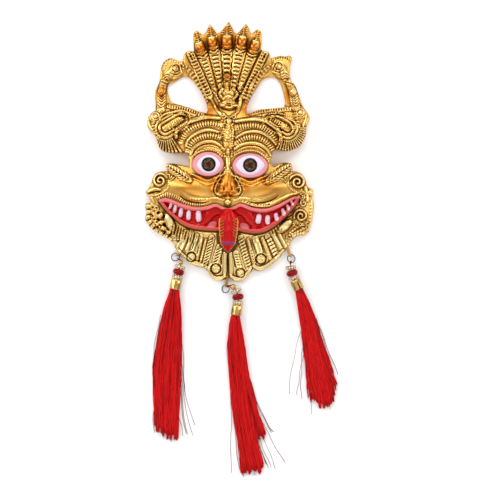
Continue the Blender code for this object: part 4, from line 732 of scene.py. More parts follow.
def carve_eyes(face):
    """Bulging eyes in their lids, with soft folds under them."""
    for centre, white, (x0, y0), lid in EYES:
        face.mound((x0, y0), (lid[0] + 2.5, lid[1] + 2.2), -2.2, shape=soft_top)
        face.mound((x0, y0), lid, 3.4)
        face.rise += 0.5 * np.exp(-((oval(face.x, face.y, (x0, y0), lid) - 0.93) / 0.07) ** 2)
        face.rise += 0.6 * np.clip(almond(face.x, face.y, centre, white) / 1.2, 0, 1)
        face.mound(centre, (IRIS, IRIS), 0.5)
        face.ring(centre, IRIS - 0.2, 0.7, -0.25)
        for drop, width, height in ((0.0, 2.6, 1.4), (2.2, 1.6, 0.7)):
            bag = [(x0 + 10.4 * s, y0 - 5.6 - drop - 4.4 * (1 - abs(s)))
                   for s in (-0.95, -0.6, 0.0, 0.6, 0.95)]
            face.ridge(bag, width, height, taper=0.7)
        side = math.copysign(1, x0)
        for k in range(3):
            crease = [(x0 - side * (3.0 + 1.6 * k), y0 - 10.8 - k),
                      (x0 - side * (7.0 + k), y0 - 10.2 - 1.6 * k)]
            face.ridge(crease, 1.2, 0.7, taper=0.8)
        # Painted reflection and shade: orange light tones below and above each eye
        face.tint((x0, y0 - 9.0), (9.0, 3.5), 0.7)
        face.tint((x0, y0 + 12.0), (9.0, 4.0), 0.5)


# The last row paints an orange reflection tone over the nose
NOSE_STROKES = """
mound/-0.7 2.8 3.2 1.1 0 soft : 4 54
mound/-0.7 0.9 2.4 -1.1 -8 soft : 2.3 55
ridge/-0.7 1.9 0.8 0 soft : 1.1 66.5  4.4 61.8  7.2 56.4  7.3 52.9  4.6 51.3  1.7 52
ridge/-0.7 1.6 0.6 0.4 soft : 2 67.8  5.9 62.3  8.9 56.6  9 52.6  7 50.2
cut/-0.7 1.3 0.6 : 1.9 66.4  5.2 61.6  8.1 56.4  8.2 52.6  6.4 50.6
ridge 2.8 0.8 0 soft : -0.7 64  -0.7 56  -0.7 49.6
mound 2 2 2.3 : -0.7 47.2
tint 7 10 3.6 : -0.7 56.6
"""


def carve_nose(face):
    """A broad triangular nose with round wings, a double outlining ridge and a bead at its tip."""
    face.strokes(NOSE_STROKES)
    middle = -0.7
    length = np.clip((70.5 - face.y) / 19, 0, 1)
    half = 1.5 + 5.4 * length ** 1.15
    across = np.clip(np.abs(face.x - middle) / half, 0, 1)
    rise = 4.2 * ease(length * 1.5) * ease((face.y - 50.4) / 3.4)
    face.rise += np.where(face.y < 74, rise * (1 - across ** 2.6), 0.0)


# Three rows paint orange reflection and shade tones over the cheeks, beside the nose and under the eyes
CHEEKS_STROKES = """
mound/0 19 7.8 3.6 6 soft : 23.5 56.4
ridge/0 1.7 -1.1 0.8 soft : 11 48  15.5 46.9  21 47.2  26.1 48.8  29.8 51.6
ridge/0 2.8 0.6 0.9 soft : 14 49.4  19 49.2  24.5 50.4  28.4 52.6
cut/0 1 0.3 0.8 : 14 51.1  19 50.9  24.5 52.1  28.4 54.3
ridge/0 1.4 0.8 0.5 : 2.8 48.6  8 49.6  12.5 49.2
tint/0 21 9 0.95 : 23 56
tint/0 4.5 7 1.2 : 10 56
tint/0 12 3.6 1.8 8 : 14 61.6
beads 0.75 1.7 0.7 : -13.2 49  -18 48.7  -23 49.2
ridge 2.4 0.9, ribs 2.4 1.35 0.95 : -42.4 49.9  -38.1 51.6  -33.3 50.9  -28.3 48.2  -23.5 46.1  -16.8 45.9
ridge 2.2 0.9 0.3 : 41.4 52.9  37.2 51.9  31.6 49.2  24.6 45.6  16 45.4  8.6 47.4
"""
# Small pits along the band above the lip on the right
PITS = rows("9 47.6  10.8 47  12.4 46.5  14.8 46  17.2 45.9  19 45.7  20.6 45.6  22 45.7  23.8 45.9")


def carve_cheeks(face):
    """Smooth full cheeks, a creased fold below each and a band of fine dashes along the lip."""
    face.strokes(CHEEKS_STROKES)
    for k, place in enumerate(PITS):
        face.mound(place, (0.55 + 0.15 * (k % 3), 0.5), -1.2, 25 * (k % 4))


# The mouth: the lips' outer edges, and their inner edges round the opening
UPPER_LIP = rows("""
-42.6 48.8  -38.6 50  -34.6 49.2  -27.4 46.3  -19.8 44.4  -13.7 44.8  -8.6 46.2  -4 44.6  -0.4 43.6
3.4 44.8  7.7 46.3  14.6 44  22.3 43.6  29.9 46.3  37.6 50.2  42.8 51.2
""")
LOWER_LIP = rows("""
-42.6 48.8  -38.6 43.8  -35.1 40  -29 34.9  -22.9 32  -16 30.9  -6.8 30.5  0 30.6  6.2 30.2  14.6 28.9
20.8 29.7  27.7 33.3  35.3 40.2  40.3 46.2  42.8 51.2
""")
UPPER_INNER = rows("""
-39.6 47.6  -36.2 47.2  -32 45.4  -26 43.2  -19 42.2  -12.6 43  -7.8 44.6  -4 43  -0.4 42.2  3.4 43.2
7.2 44.6  14 42  21.6 41.4  28.8 43.6  35.6 47.6  40.2 49.9
""")
LOWER_INNER = rows("""
-39.6 47.6  -36.6 43.8  -33.2 40.4  -28 36.6  -22 34  -15.6 33  -6.8 32.4  0 32.4  6.2 32.2  14.4 31.2
20.2 32  26.6 35.6  33.4 41.6  38 46.6  40.2 49.9
""")
# Each tooth: the place of its middle, width, height, lean
TEETH = rows("""
-35 45 1.9 3.7 -20  -32.3 43.2 2.3 4.8 -14  -28.8 41 2.7 5.6 -10  -24.1 39.5 2.9 6 -4
-18.1 38.9 3.5 6.8 2  17.6 37.4 3.4 6.2 -8  23 36.9 3.1 5.8 0  28.2 38.7 2.7 5.2 10
32.4 41.5 2.4 4.8 14  35.2 44.2 2 4.2 18  37.6 46.8 1.7 3.3 22
""", 5)
# The middle of the lips and of the opening across the face, and half their width
LIP_MIDDLE, LIP_REACH = 0.1, 42.8
MOUTH_MIDDLE, MOUTH_REACH = 0.3, 39.9
GUM_FLATS = (((-10.0, 33.9), (3.2, 1.9), 22), ((9.2, 33.0), (3.2, 1.9), -20))


def height_at(x, points):
    """The height of a curve drawn from left to right, over each place across."""
    curve = path_points(points)
    return np.interp(x, curve[:, 0], curve[:, 1])


def tooth_share(x, y, middle_x, middle_y, wide, tall, lean):
    """How far out a place lies in a tooth's rounded outline, 1 on its edge."""
    u, v = turned(x, y, (middle_x, middle_y), lean)
    return np.abs(2 * u / wide) ** 2.6 + np.abs(2 * v / tall) ** 3.2


MOUTH_STROKES = """
ridge 6.6 2.1 0.4 : -15 34.6  -12.6 38.8  -9 42  -4.6 41.6 | 15 33  12.6 37.4  9.4 41.2  5 41.8
cut 1.4 1 : -14 42.4  -14.6 39  -16.2 35.6 | 14 41.4  14.8 38  16.2 34.2
ridge 2.6 0.9 0.5 : -37 43.8  -31 38.8  -24 35.6  -15 34.4 | 38.4 46.2  32 39.4  25 34.6  16 33
"""


def carve_mouth(face):
    """Rolled lips round a sunk mouth, with gums, teeth and two thick folds beside the tongue."""
    face.strokes(MOUTH_STROKES)
    x, y = face.x, face.y
    top, bottom = height_at(x, UPPER_LIP), height_at(x, LOWER_LIP)
    half = np.maximum(0.5 * (top - bottom), 0.1)
    swell = round_top((y - 0.5 * (top + bottom)) / half) * ease(half / 4)
    face.rise += np.where((y < top) & (y > bottom) & (np.abs(x - LIP_MIDDLE) < LIP_REACH), 1.2 * swell, 0.0)
    depth = np.minimum(height_at(x, UPPER_INNER) - y, y - height_at(x, LOWER_INNER))
    face.rise -= np.where(np.abs(x - MOUTH_MIDDLE) < MOUTH_REACH, 2.3 * ease(depth / 1.4), 0.0)
    for outer, inner, height in ((UPPER_LIP, UPPER_INNER, 1.5), (LOWER_LIP, LOWER_INNER, 1.9)):
        face.ridge(0.5 * (outer + inner), 2.3, height)
    face.cut(LOWER_LIP[2:-2] - (0.0, 0.9), 1.1, 1.0)
    for centre, reach, turn in GUM_FLATS:
        face.mound(centre, reach, 0.9, turn)
    for tooth in TEETH:
        share = tooth_share(x, y, *tooth)
        face.rise -= 0.9 * np.clip(1.9 - share, 0, 0.9) / 0.9 * (share > 1)
        face.rise += 2.2 * np.sqrt(np.clip(1 - share, 0, 1))


def tongue_share(x, y):
    """How far across the tongue a place lies, from -1 to 1, and half the tongue's width there."""
    middle = np.interp(y, [17.6, 22, 28, 36, 43], [-0.8, -0.7, -0.4, -0.2, -0.6])
    half = np.interp(y, [17.4, 18.6, 22.6, 29.0, 35.6, 39.5, 42.5], [0.3, 1.6, 4.5, 5.5, 6.0, 5.0, 3.0])
    return (x - middle) / half, half


TONGUE_ENDS = (17.4, 43.5)


def tongue_ropes(edge, half, y):
    """Where the twisted ropes run down the tongue's sides, and how high each turn of them stands."""
    rope = ease((edge - 0.45) / 0.05) * ease((0.86 - edge) / 0.05)
    rope = rope * ease((y - 25) / 2) * ease((38.6 - y) / 1.5)
    return rope, 0.5 + 0.5 * np.cos(2 * np.pi * (y / 1.75 + edge * half / 2.4))


def carve_tongue(face):
    """The tongue hangs over the lower lip; ropes run down its sides and it ends in a point."""
    y = face.y
    across, half = tongue_share(face.x, y)
    level = np.interp(y, [17.4, 20, 24, 30, 36, 43.5], [5.6, 7.8, 11.3, 14.8, 14.6, 11.8])
    form = level + 2.6 * round_top(across)
    edge = np.abs(across)
    rope, twist = tongue_ropes(edge, half, y)
    form += rope * (1.5 * twist - 0.6)
    form -= 0.6 * np.exp(-((edge - 0.43) / 0.05) ** 2) * (y > 24)
    form -= 0.45 * np.exp(-((edge - 0.88) / 0.04) ** 2) * (y > 20)
    form += 0.5 * np.exp(-((y - zigzag(face.x)) / 0.6) ** 2) * (edge < 0.8)
    on = (np.abs(across) < 1) & (y > TONGUE_ENDS[0]) & (y < TONGUE_ENDS[1])
    face.rise = np.where(on, np.maximum(face.rise, form), face.rise)
    face.cut(rows("-0.3 41  -0.3 35  -0.5 29"), 0.9, 0.5)


def zigzag(x):
    """The height of the zigzag line painted across the tongue's end."""
    return 22.9 + 0.9 * (np.abs(np.mod(x * 0.62 + 0.5, 1) - 0.5) * 4 - 1)


# Spokes of the frill: top, bottom, width and how each is worked; then medallions and petal rims
SPOKES = """-2.4 16.9 -2.6 3.2 2.3 bar, -5.6 20.6 -8.2 11.4 4.6 hatch, -10.2 26.4 -14.9 8.4 4.2 hatch,
-13.8 25 -17.2 11.6 1.9 beads, -16.4 27.2 -19.6 12.4 2.3 bar, -19 27.8 -22 18.6 2.3 bar,
-21.6 28.8 -25.4 18.4 2.3 bar, -25.4 29 -30.4 18.4 5 scratch, 0.9 16.9 1.2 3.2 2.3 bar,
3.9 17.4 6 8.8 3.8 level, 6.8 26.2 11.8 8 4.3 hatch, 11.2 25.4 15 10.8 2.2 beads,
15.8 25.6 18.4 17.2 4.4 flat, 19.9 25.8 24.6 13.8 2.6 beads, 23.2 26.8 28.6 14.6 4 hatch,
26.6 27.6 31.8 18.2 2.4 bar, 29.4 29.6 33.8 20.8 2 bar"""
MEDALLIONS = [((-22.6, 14.7), 2.8), ((-8.0, 7.6), 3.0), ((6.8, 5.1), 2.7), ((19.1, 13.4), 3.1)]
PETALS = [rows("-2.6 3  -5.4 1.8  -9.2 2.2  -11.6 5  -12.6 8.6"),
          rows("1.2 3  4.4 1.3  8 2.1  10.6 4.4  12.2 7"),
          rows("14.6 9.6  18.4 7.7  22.2 9  25.6 11.6  29.2 15.2  32.4 18.6"),
          rows("-14.2 9  -18.8 10.6  -22.6 11.3  -26.4 14.3  -30.2 18.4")]
FRILL_STROKES = """
cut 1.9 2.6 0.4 : -0.75 17  -0.85 10  -0.9 3.4
mound 1 1.6 -1.4 : -0.9 4.6
cut 1.1 1.6 0.4 : -4.6 15.6  -4.9 9.6 | -12.2 12.6  -13.2 8.2 | -18 22  -19.4 16 | -20.4 25  -22.4 18.8
cut 1.1 1.6 0.4 : 3 14.2  3.6 8.6 | 13 19  14.6 13
"""


def carve_frill(face):
    """The pleated frill: worked spokes, ringed medallions, petal rims and a slot down its middle."""
    face.strokes(FRILL_STROKES)
    for spoke in SPOKES.split(","):
        *ends, width, work = spoke.split()
        top, bottom = rows(" ".join(ends))
        width, side = float(width), math.copysign(1, top[0])
        rounded = work in ("bar", "beads")
        face.ridge([top, bottom], width + 1.1, -0.9, shape=soft_top)
        face.ridge([top, bottom], width, 1.8 if rounded else 1.6, shape=round_top if rounded else flat_top)
        if work == "hatch":
            slope = np.array([0.5 * width * 0.84, 0.5 * width * 0.5])
            count = int(abs(top[1] - bottom[1]) / 1.75)
            for k in range(count):
                centre = bottom + (top - bottom) * (k + 0.5) / count
                face.cut([centre - slope, centre + slope], 1.0, 1.3, taper=0.3)
        if work == "level":
            for k in range(5):
                centre = bottom + (top - bottom) * (k + 0.6) / 5.4
                face.cut([centre - (1.5, 0.1), centre + (1.6, 0.3)], 0.9, 1.0, taper=0.3)
        if work == "beads":
            face.beads([top, bottom], width * 0.36, width * 0.78, 1.0)
        if work == "scratch":
            for k in range(-3, 4):
                shift = np.array([0.62 * k, 0.1 * k])
                face.cut([top + shift + (side * 0.6, -4.6), bottom + shift + (0.2, 0.8)], 0.5, 0.5)
    for points in PETALS:
        face.ridge(points, 2.9, 1.3, taper=0.25, shape=flat_top)
        face.cut(points + (0.0, 1.9), 0.9, 1.0)
    for centre, radius in MEDALLIONS:
        face.mound(centre, (radius * 1.45, radius * 1.45), 1.2, shape=flat_top)
        face.ring(centre, radius, 1.5, -2.4)
        face.ring(centre, radius * 0.6, 0.8, 0.7)
        face.mound(centre, (radius * 0.4, radius * 0.4), 0.9)
        face.mound(centre, (0.45, 0.45), -1.1)
    for k in range(10):
        top = np.array([-34.2 + 1.62 * k, 34.2 - 0.62 * k])
        face.ridge([top, top + (-1.4, -5.6)], 1.15, 1.3, taper=0.3)
    for k in range(4):
        top = np.array([24.6 + 1.6 * k, 30.2 + 1.15 * k])
        face.ridge([top, top + (1.5, -3.4)], 1.1, 1.1, taper=0.3)


def carve_leaf(face, root, tip, width, height, veins):
    """A leaf with a midrib and a row of slanting veins on each side."""
    root, tip = np.array(root), np.array(tip)
    along = (tip - root) / np.hypot(*(tip - root))
    across = np.array([-along[1], along[0]])
    face.ridge([root, tip], width, height, taper=0.35, shape=flat_top)
    face.cut([root + along, tip - along], 1.1, 1.3, taper=0.3)
    for k in range(veins):
        share = (k + 0.4) / veins
        start = root + (tip - root) * share
        reach = 0.5 * width * (1 - 0.45 * abs(2 * share - 1) ** 2)
        for side in (-1, 1):
            out, ahead = across * side * reach, along * reach
            face.cut([start, start + out * 0.6 + ahead * 0.5, start + out * 1.05 + ahead * 1.4], 0.95, 1.2,
                     taper=0.2)


# Cuts round a hub: its place and side, the first angle and the step, where they start and end, depth, count
SHORT_RAYS = rows("-36 58.4 -1 70 17 2 5.4 1.1 5  35.6 57 1 70 17 2 5.4 1.1 5  "
                  "44.4 46.6 1 150 24 2.6 4.6 1 4", 9)
# Petals up the left edge: the place of each, and how far in its curled tip lies
PETAL_CURLS = rows("-49.2 45.2 2.6 -0.6  -49 41.8 2.7 0  -49.5 38.4 2.6 0.6  -48.2 35.2 2.4 1.2  "
                   "-46.2 32.8 2 1.8", 4)
# Three rows paint a paler highlight tone, on two large lobes and along both edges
SIDES_STROKES = """
scroll 4.5 1.7 1.5 2.2 20 1 : -41.3 60.4
scroll 4.8 1.7 1.5 2.2 160 -1 : 40.9 59.5
scroll 4.3 1.6 1.3 2 200 -1 : 43 39.2
scroll 1.9 1.1 0.9 1.3 200 -1 : -43.4 43.6
scroll 2.3 1.2 1 1.5 90 1 : 44.6 46.8
scroll 1.6 1 0.9 1.2 0 -1 : 46.8 35
scroll 1.6 1 0.8 1.1 100 -1 : -33 26
beads 0.62 1.2 0.9 : -36.9 62.4  -36.2 59  -37 55.4  -39.6 53.4
beads 0.6 1.15 0.9 : 35.4 60.4  35.8 56.8  38.2 54.4  41.2 53.6
beads 0.75 1.75 0.9 : -45.6 34.6  -42.8 31.2  -38.9 27.8
beads 0.7 1.8 0.8 : 48.4 46  48.7 41  48.2 36.4  46.8 31
beads 0.75 1.7 0.9 : 44.4 28.9  40.8 28.3  37.4 26.2  35.2 22.6
beads 0.7 1.5 0.8 : 44.6 53.4  45 50.6  44.4 48.6
beads 0.9 1.8 1.3 : 36.4 29.2  41.1 32.6  45.6 34.6
beads 0.85 1.75 1.2 : 34.6 26.6  38 28.4  42.6 30.6  46 32.4
mound 2.4 1.5 1.7 55 : -41 39.4
mound 2.3 1.4 1.7 10 : -40.6 35.4
mound 2.2 1.3 1.7 -40 : -38.9 31.9
mound 1.6 1.2 1.7 -60 : -43 34.6
mound 1.9 1.3 1.7 -30 : -36.4 29.4
mound 1.8 1.2 1.7 -30 : -33.4 27
mound 1.5 1 -2.3 40 soft : -42.4 41.2
mound 1.6 1 -2.3 70 soft : -38.9 39
mound 1.5 1 -2.3 0 soft : -42.4 37.2
mound 1.7 0.9 -2.3 -40 soft : -38.7 33.7
mound 1.2 0.9 -2.3 -50 soft : -42.6 32.4
mound 1.4 0.9 -2.3 -40 soft : -38.5 29.9
mound 1.4 0.9 -2.3 -35 soft : -35.4 27.9
mound 1.6 1 -2.3 10 soft : -30.6 24.2
ridge 1.8 1.1 0.5 : 20 58  24.6 60.2  28 62
ridge 2.3 1.4 0.4 : -48.9 53.6  -45 55.4  -41 55
ridge 1.6 1.1 0.4 : -48.2 52  -44.4 51.6  -41 52.6
cut 0.9 1.4 : -47.4 53  -43.8 53.6  -40.6 53.8
ridge 2.2 1.2 : 45.6 56.2  46.6 52.4  46.8 48.4
mound 1.9 2.1 1.8 : 49 53.2
ridge 1.5 1 : -44.8 47.2  -46 49.6  -47.6 51.4
mound 6.2 2.6 2.9 -66, tint 7 3.4 -1.4 -66 : -35.6 35.2
mound 5.6 2.5 3 44, tint 6.4 3.2 -1.4 44 : 33.4 33
ridge 1.5 1.2 0.3, ribs 1.5 1.6 0.8 : -44.6 44  -45.2 40  -44.6 36.4  -42 32.6  -38.4 30.2
cut 1 1.2 : -36.6 41.6  -33 37.4  -31.6 31 | 38.6 40.4  34 37.4  29.8 32.4
mound 1.5 1.1 1.1 -30 : -43.8 30.6  -40.9 28.9  -38 27.2  -35.4 25.4
cut 0.9 1.2 : -45.4 31  -44.2 32.8 | -42.5 29.3  -41.3 31.1 | -39.6 27.6  -38.4 29.4 | -37 25.8  -35.8 27.6
ridge 1.3 0.9 : 49.4 48.8  49.6 43  49.2 37  47.6 31.2
pebbles 3.6 2.2 0.95 1 31 : 41.2 34.4
pebbles 2.6 2 0.95 1 33 : 36.8 26.6
pebbles 2.4 2.4 0.95 1 34 : 44.8 33.6
pebbles 2 3.4 0.9 0.9 35 : 43.4 51.6
tint/0 11 20 -0.3 : 43 42
mound 0.8 0.8 -1.6 : 34.2 23.4
mound 0.9 0.7 -1.4 : 35.6 26.8
"""


def carve_sides(face):
    """Veined leaves beside the eyes, and rolled scrolls, lobes and smooth leaves down both edges."""
    face.strokes(SIDES_STROKES)
    carve_leaf(face, (-23.4, 60.4), (-37.2, 69.2), 6.6, 2.1, 8)
    carve_leaf(face, (23.2, 59.6), (37.0, 69.4), 6.8, 2.1, 8)
    for x, y, side, first, step, near, far, depth, count in SHORT_RAYS:
        for turn in np.radians(first + step * np.arange(count)):
            out = np.array([side * math.cos(turn), math.sin(turn)])
            face.cut([(x, y) + out * near, (x, y) + out * far], 0.9, depth)
    for k, (x, y, *inward) in enumerate(PETAL_CURLS):
        place, inward = np.array((x, y)), np.array(inward)
        face.mound(place + inward * 0.35, (1.9, 1.4), 1.4, 20 * k)
        face.cut([place + (0, -1.8), place + inward + (0, -1.6)], 1.2, 1.7, taper=0.3)
        face.mound(place + inward * 1.45, (0.8, 0.8), -1.2)


def carve_face(face):
    """The whole relief, and the light and shade painted into the metal's colour over it."""
    carve_crown(face)
    carve_seated_figure(face)
    for bird in BIRDS:
        carve_bird(face, bird)
    carve_wings(face)
    carve_cheeks(face)
    carve_brows(face)
    carve_eyes(face)
    carve_nose(face)
    carve_frill(face)
    carve_mouth(face)
    carve_tongue(face)
    carve_sides(face)
    # Painted light tones by region: warmer over the upper face, a paler painted highlight over the frill
    face.warmth += 0.25 * ease((face.y - 45) / 25) - 0.5 * ease((34 - face.y) / 10)


mask_low, mask_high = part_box("mask")
UNIT = (mask_high.x - mask_low.x) / np.ptp(OUTLINE[:, 0])
FACE_ORIGIN = np.array([mask_low.x - UNIT * OUTLINE[:, 0].min(), mask_high.y - UNIT * OUTLINE[:, 1].max(),
                        mask_low.z])
# How much of the way to the outline the border is drawn
BORDER_PULL = 0.92
# Broad forms over this far across, in face units, are eased from this much under the highest rise
BROAD_REACH = 2.5
EASED_FROM = 7.0
EASED_BY = 4.6
# The hollow's own places start this far inside the outline
LEAST_INSET = 0.9
# A depth far outside every painted part
FAR_OUTSIDE = -5.0


def on_table(places):
    """Places in face units, as places in the frame in metres."""
    return np.asarray(places, float) * UNIT + FACE_ORIGIN


def mesh_from(name, places, faces):
    """A mesh from places in metres and arrays of faces that each have the same number of corners."""
    mesh = bpy.data.meshes.new(name)
    corners = np.concatenate([f.ravel() for f in faces]).astype(np.int32)
    sizes = np.concatenate([np.full(len(f), f.shape[1], np.int32) for f in faces])
    mesh.vertices.add(len(places))
    mesh.vertices.foreach_set("co", np.asarray(places, np.float32).ravel())
    mesh.loops.add(len(corners))
    mesh.loops.foreach_set("vertex_index", corners)
    mesh.polygons.add(len(sizes))
    mesh.polygons.foreach_set("loop_start", np.cumsum(sizes) - sizes)
    mesh.polygons.foreach_set("use_smooth", np.ones(len(sizes), bool))
    mesh.update(calc_edges=True)
    mesh.validate()
    return mesh


def keep_values(mesh, name, values):
    """One number at every vertex, which a material can read."""
    held = mesh.attributes.new(name, "FLOAT", "POINT")
    held.data.foreach_set("value", np.asarray(values, np.float32))


def shown(name, data):
    """An object of some data, in the scene."""
    thing = bpy.data.objects.new(name, data)
    bpy.context.scene.collection.objects.link(thing)
    return thing


def add_piece(name, mesh, materials):
    """An object that stands for the CAD node of the same name and takes its finish from a slot."""
    thing = shown(name + "_look", mesh)
    for material in materials:
        mesh.materials.append(material)
    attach(thing, "root")
    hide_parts(name)
    return thing


def smallest_near(values, reach):
    """The lowest value of a grid within so many cells of every point."""
    for axis in (0, 1):
        values = np.min([np.roll(values, k, axis) for k in range(-reach, reach + 1)], axis=0)
    return values


def kept_cells(edge):
    """The grid's cells whose middles lie inside the outline, with no two joined by a corner alone."""
    keep = edge[:-1, :-1] + edge[1:, :-1] + edge[:-1, 1:] + edge[1:, 1:] > 0
    for _ in range(4):
        falling = keep[:-1, :-1] & keep[1:, 1:] & ~keep[1:, :-1] & ~keep[:-1, 1:]
        keep[1:, :-1] |= falling
        rising = ~keep[:-1, :-1] & ~keep[1:, 1:] & keep[1:, :-1] & keep[:-1, 1:]
        keep[:-1, :-1] |= rising
    return keep


def border_edges(keep, number):
    """The directed edges round the kept cells, with the metal on their left."""
    padded = np.pad(keep, 1)
    inner = padded[1:-1, 1:-1]
    sides = ((padded[:-2, 1:-1], (0, 0), (0, 1)), (padded[1:-1, 2:], (0, 1), (1, 1)),
             (padded[2:, 1:-1], (1, 1), (1, 0)), (padded[1:-1, :-2], (1, 0), (0, 0)))
    found = []
    for beyond, start, end in sides:
        row, column = np.nonzero(inner & ~beyond)
        found.append(np.stack([number[row + start[0], column + start[1]],
                               number[row + end[0], column + end[1]]], 1))
    return np.concatenate(found)


def hollow_height(x, y, edge, front):
    """The height of the inside of the casting above its rim's foot."""
    under = np.minimum(body_rise(x, y) + RIM_THICKNESS - WALL, (edge - RIM_WIDTH) * HOLLOW_SLOPE)
    return np.clip(np.minimum(under, front - THINNEST), 0.0, None)


def paint_fields(x, y):
    """For each painted part, how far inside it every place of the face lies."""
    eye_white = np.max([almond(x, y, centre, white) for centre, white, _, _ in EYES], axis=0)
    iris = np.max([IRIS - np.hypot(x - centre[0], y - centre[1]) for centre, _, _, _ in EYES], axis=0)
    lid = np.max([(1 - oval(x, y, at, reach)) * reach[1] for _, _, at, reach in EYES], axis=0)
    lip = np.minimum(height_at(x, UPPER_LIP) - y, y - height_at(x, LOWER_LIP))
    lip = np.minimum(lip, LIP_REACH - 0.1 - np.abs(x - LIP_MIDDLE))
    low_lip = np.minimum(lip, 0.5 * (height_at(x, UPPER_INNER) + height_at(x, LOWER_INNER)) - y)
    mouth = np.minimum(height_at(x, UPPER_INNER) - y, y - height_at(x, LOWER_INNER))
    mouth = np.minimum(mouth, MOUTH_REACH - np.abs(x - MOUTH_MIDDLE))
    tooth = np.max([1 - tooth_share(x, y, *t) for t in TEETH], axis=0)
    gum = np.max([1 - oval(x, y, *flat) for flat in GUM_FLATS], axis=0)
    across, half = tongue_share(x, y)
    tongue = np.minimum((1 - np.abs(across)) * half, np.minimum(y - TONGUE_ENDS[0], TONGUE_ENDS[1] - y))
    zig = 0.62 - np.abs(y - zigzag(x))
    rope, twist = tongue_ropes(np.abs(across), half, y)
    return {"eye_white": eye_white, "iris": iris, "lid": lid, "lip": lip, "low_lip": low_lip, "mouth": mouth,
            "tooth": tooth, "gum": gum, "tongue": tongue, "zigzag": zig, "rope": rope * (0.3 + 0.7 * twist),
            "tongue_across": across * ease((39.2 - y) / 1.5)}


def limited(rise):
    """The relief with its broad forms eased off towards the highest rise, its fine cuts kept as they are."""
    cells = round(BROAD_REACH / GRID)
    broad = spread(spread(rise, cells), cells)
    knee = HIGHEST_RISE - EASED_FROM
    over = np.maximum(broad - knee, 0.0)
    eased = np.minimum(broad, knee) + EASED_BY * (1 - np.exp(-over / EASED_BY))
    return np.clip(rise - broad + eased, DEEPEST_CUT, HIGHEST_RISE)


def make_mask_mesh():
    """The mask's front over a grid, walls down from its border to the foot, and the hollow back."""
    loops = [loop_points(points) for points in (OUTLINE, HOLE_LEFT, HOLE_RIGHT)]
    low, high = loops[0].min(0) - GRID, loops[0].max(0) + GRID
    face = Relief(np.arange(low[0], high[0] + GRID, GRID), np.arange(low[1], high[1] + GRID, GRID))
    carve_face(face)
    edge = distance_in_plate(face.x, face.y, loops)
    keep = kept_cells(edge)
    around = np.pad(keep.astype(int), 1)
    touching = around[:-1, :-1] + around[1:, :-1] + around[:-1, 1:] + around[1:, 1:]
    used = touching > 0
    number = np.cumsum(used).reshape(used.shape) - 1
    border = used & (touching < 4)
    flat = np.stack([face.x[used], face.y[used]], 1)
    on_border = border[used]
    flat[on_border] += BORDER_PULL * (nearest_on(flat[on_border], loops) - flat[on_border])
    x, y = flat.T
    inward = np.clip(np.where(on_border, 0.0, edge[used]) / EDGE_ROUND, 0, 1)
    rounded = EDGE_DROP * (1 - np.sqrt(1 - (1 - inward) ** 2))
    rise = limited(face.rise)
    top = RIM_THICKNESS + rise[used] - rounded
    top = np.maximum(top, RIM_THICKNESS - EDGE_DROP)
    row, column = np.nonzero(keep)
    quads = np.stack([number[row, column], number[row, column + 1], number[row + 1, column + 1],
                      number[row + 1, column]], 1)
    rim = border_edges(keep, number)
    count, rim_count = len(x), on_border.sum()
    order = np.full(count, -1)
    order[on_border] = np.arange(rim_count)
    half_way = count + order
    foot = half_way + rim_count
    a, b = rim[:, 0], rim[:, 1]
    walls = np.concatenate([np.stack([b, a, half_way[a], half_way[b]], 1),
                            np.stack([half_way[b], half_way[a], foot[a], foot[b]], 1)])
    front = np.column_stack([flat, top])
    places = np.concatenate([front, front[on_border] * (1, 1, 0.5), front[on_border] * (1, 1, 0)])
    back_places, triangles = back_of_mask(face, edge, rise, flat[on_border],
                                          np.stack([order[a], order[b]], 1),
                                          len(places), foot[on_border])
    places = np.concatenate([places, back_places])
    fields = paint_fields(x, y)
    # How far each place lies above or below its surroundings, which the material turns into patina, painted
    # shade and painted highlight
    fields["fine"] = (rise - spread(rise, max(1, round(0.7 / GRID))))[used]
    fields["broad"] = (rise - spread(rise, round(2.6 / GRID)))[used]
    fields["warmth"] = face.warmth[used]
    fields["front"] = np.ones(count)
    for key, values in fields.items():
        outside = 0.0 if key in ("fine", "broad", "warmth", "front", "tongue_across") else FAR_OUTSIDE
        fields[key] = np.append(values, np.full(len(places) - count, outside))
    return places, [quads, walls, triangles], fields


def back_of_mask(face, edge, rise, rim, rim_edges, first, foot):
    """The hollow back: triangles over the border's foot and places inside it, facing down."""
    step = max(1, round(BACK_GRID / GRID))
    lowest = smallest_near(RIM_THICKNESS + rise, step + 1)
    sparse = [values[::step, ::step] for values in (face.x, face.y, edge, lowest)]
    x, y, edge, lowest = (values[sparse[2] > LEAST_INSET] for values in sparse)
    height = hollow_height(x, y, edge, lowest)
    flat = np.concatenate([rim, np.stack([x, y], 1)])
    found = delaunay_2d_cdt([Vector(p) for p in flat], [tuple(map(int, e)) for e in rim_edges], [], 0, 1e-5)
    source = np.array([ids[0] if ids else -1 for ids in found[3]])
    triangles = source[np.array(found[2])]
    triangles = triangles[(triangles >= 0).all(1)]
    middle_x, middle_y = flat[triangles].mean(1).T
    within = np.zeros(len(middle_x), bool)
    for (ax, ay), (bx, by) in flat[rim_edges]:
        within ^= crossed(middle_x, middle_y, ax, ay, bx, by)
    triangles = triangles[within]
    p, q, r = (flat[triangles[:, k]] for k in range(3))
    turn = (q[:, 0] - p[:, 0]) * (r[:, 1] - p[:, 1]) - (q[:, 1] - p[:, 1]) * (r[:, 0] - p[:, 0])
    triangles = np.where((turn > 0)[:, None], triangles[:, ::-1], triangles)
    numbers = np.append(foot, first + np.arange(len(x)))
    return np.stack([x, y, height], 1), numbers[triangles]


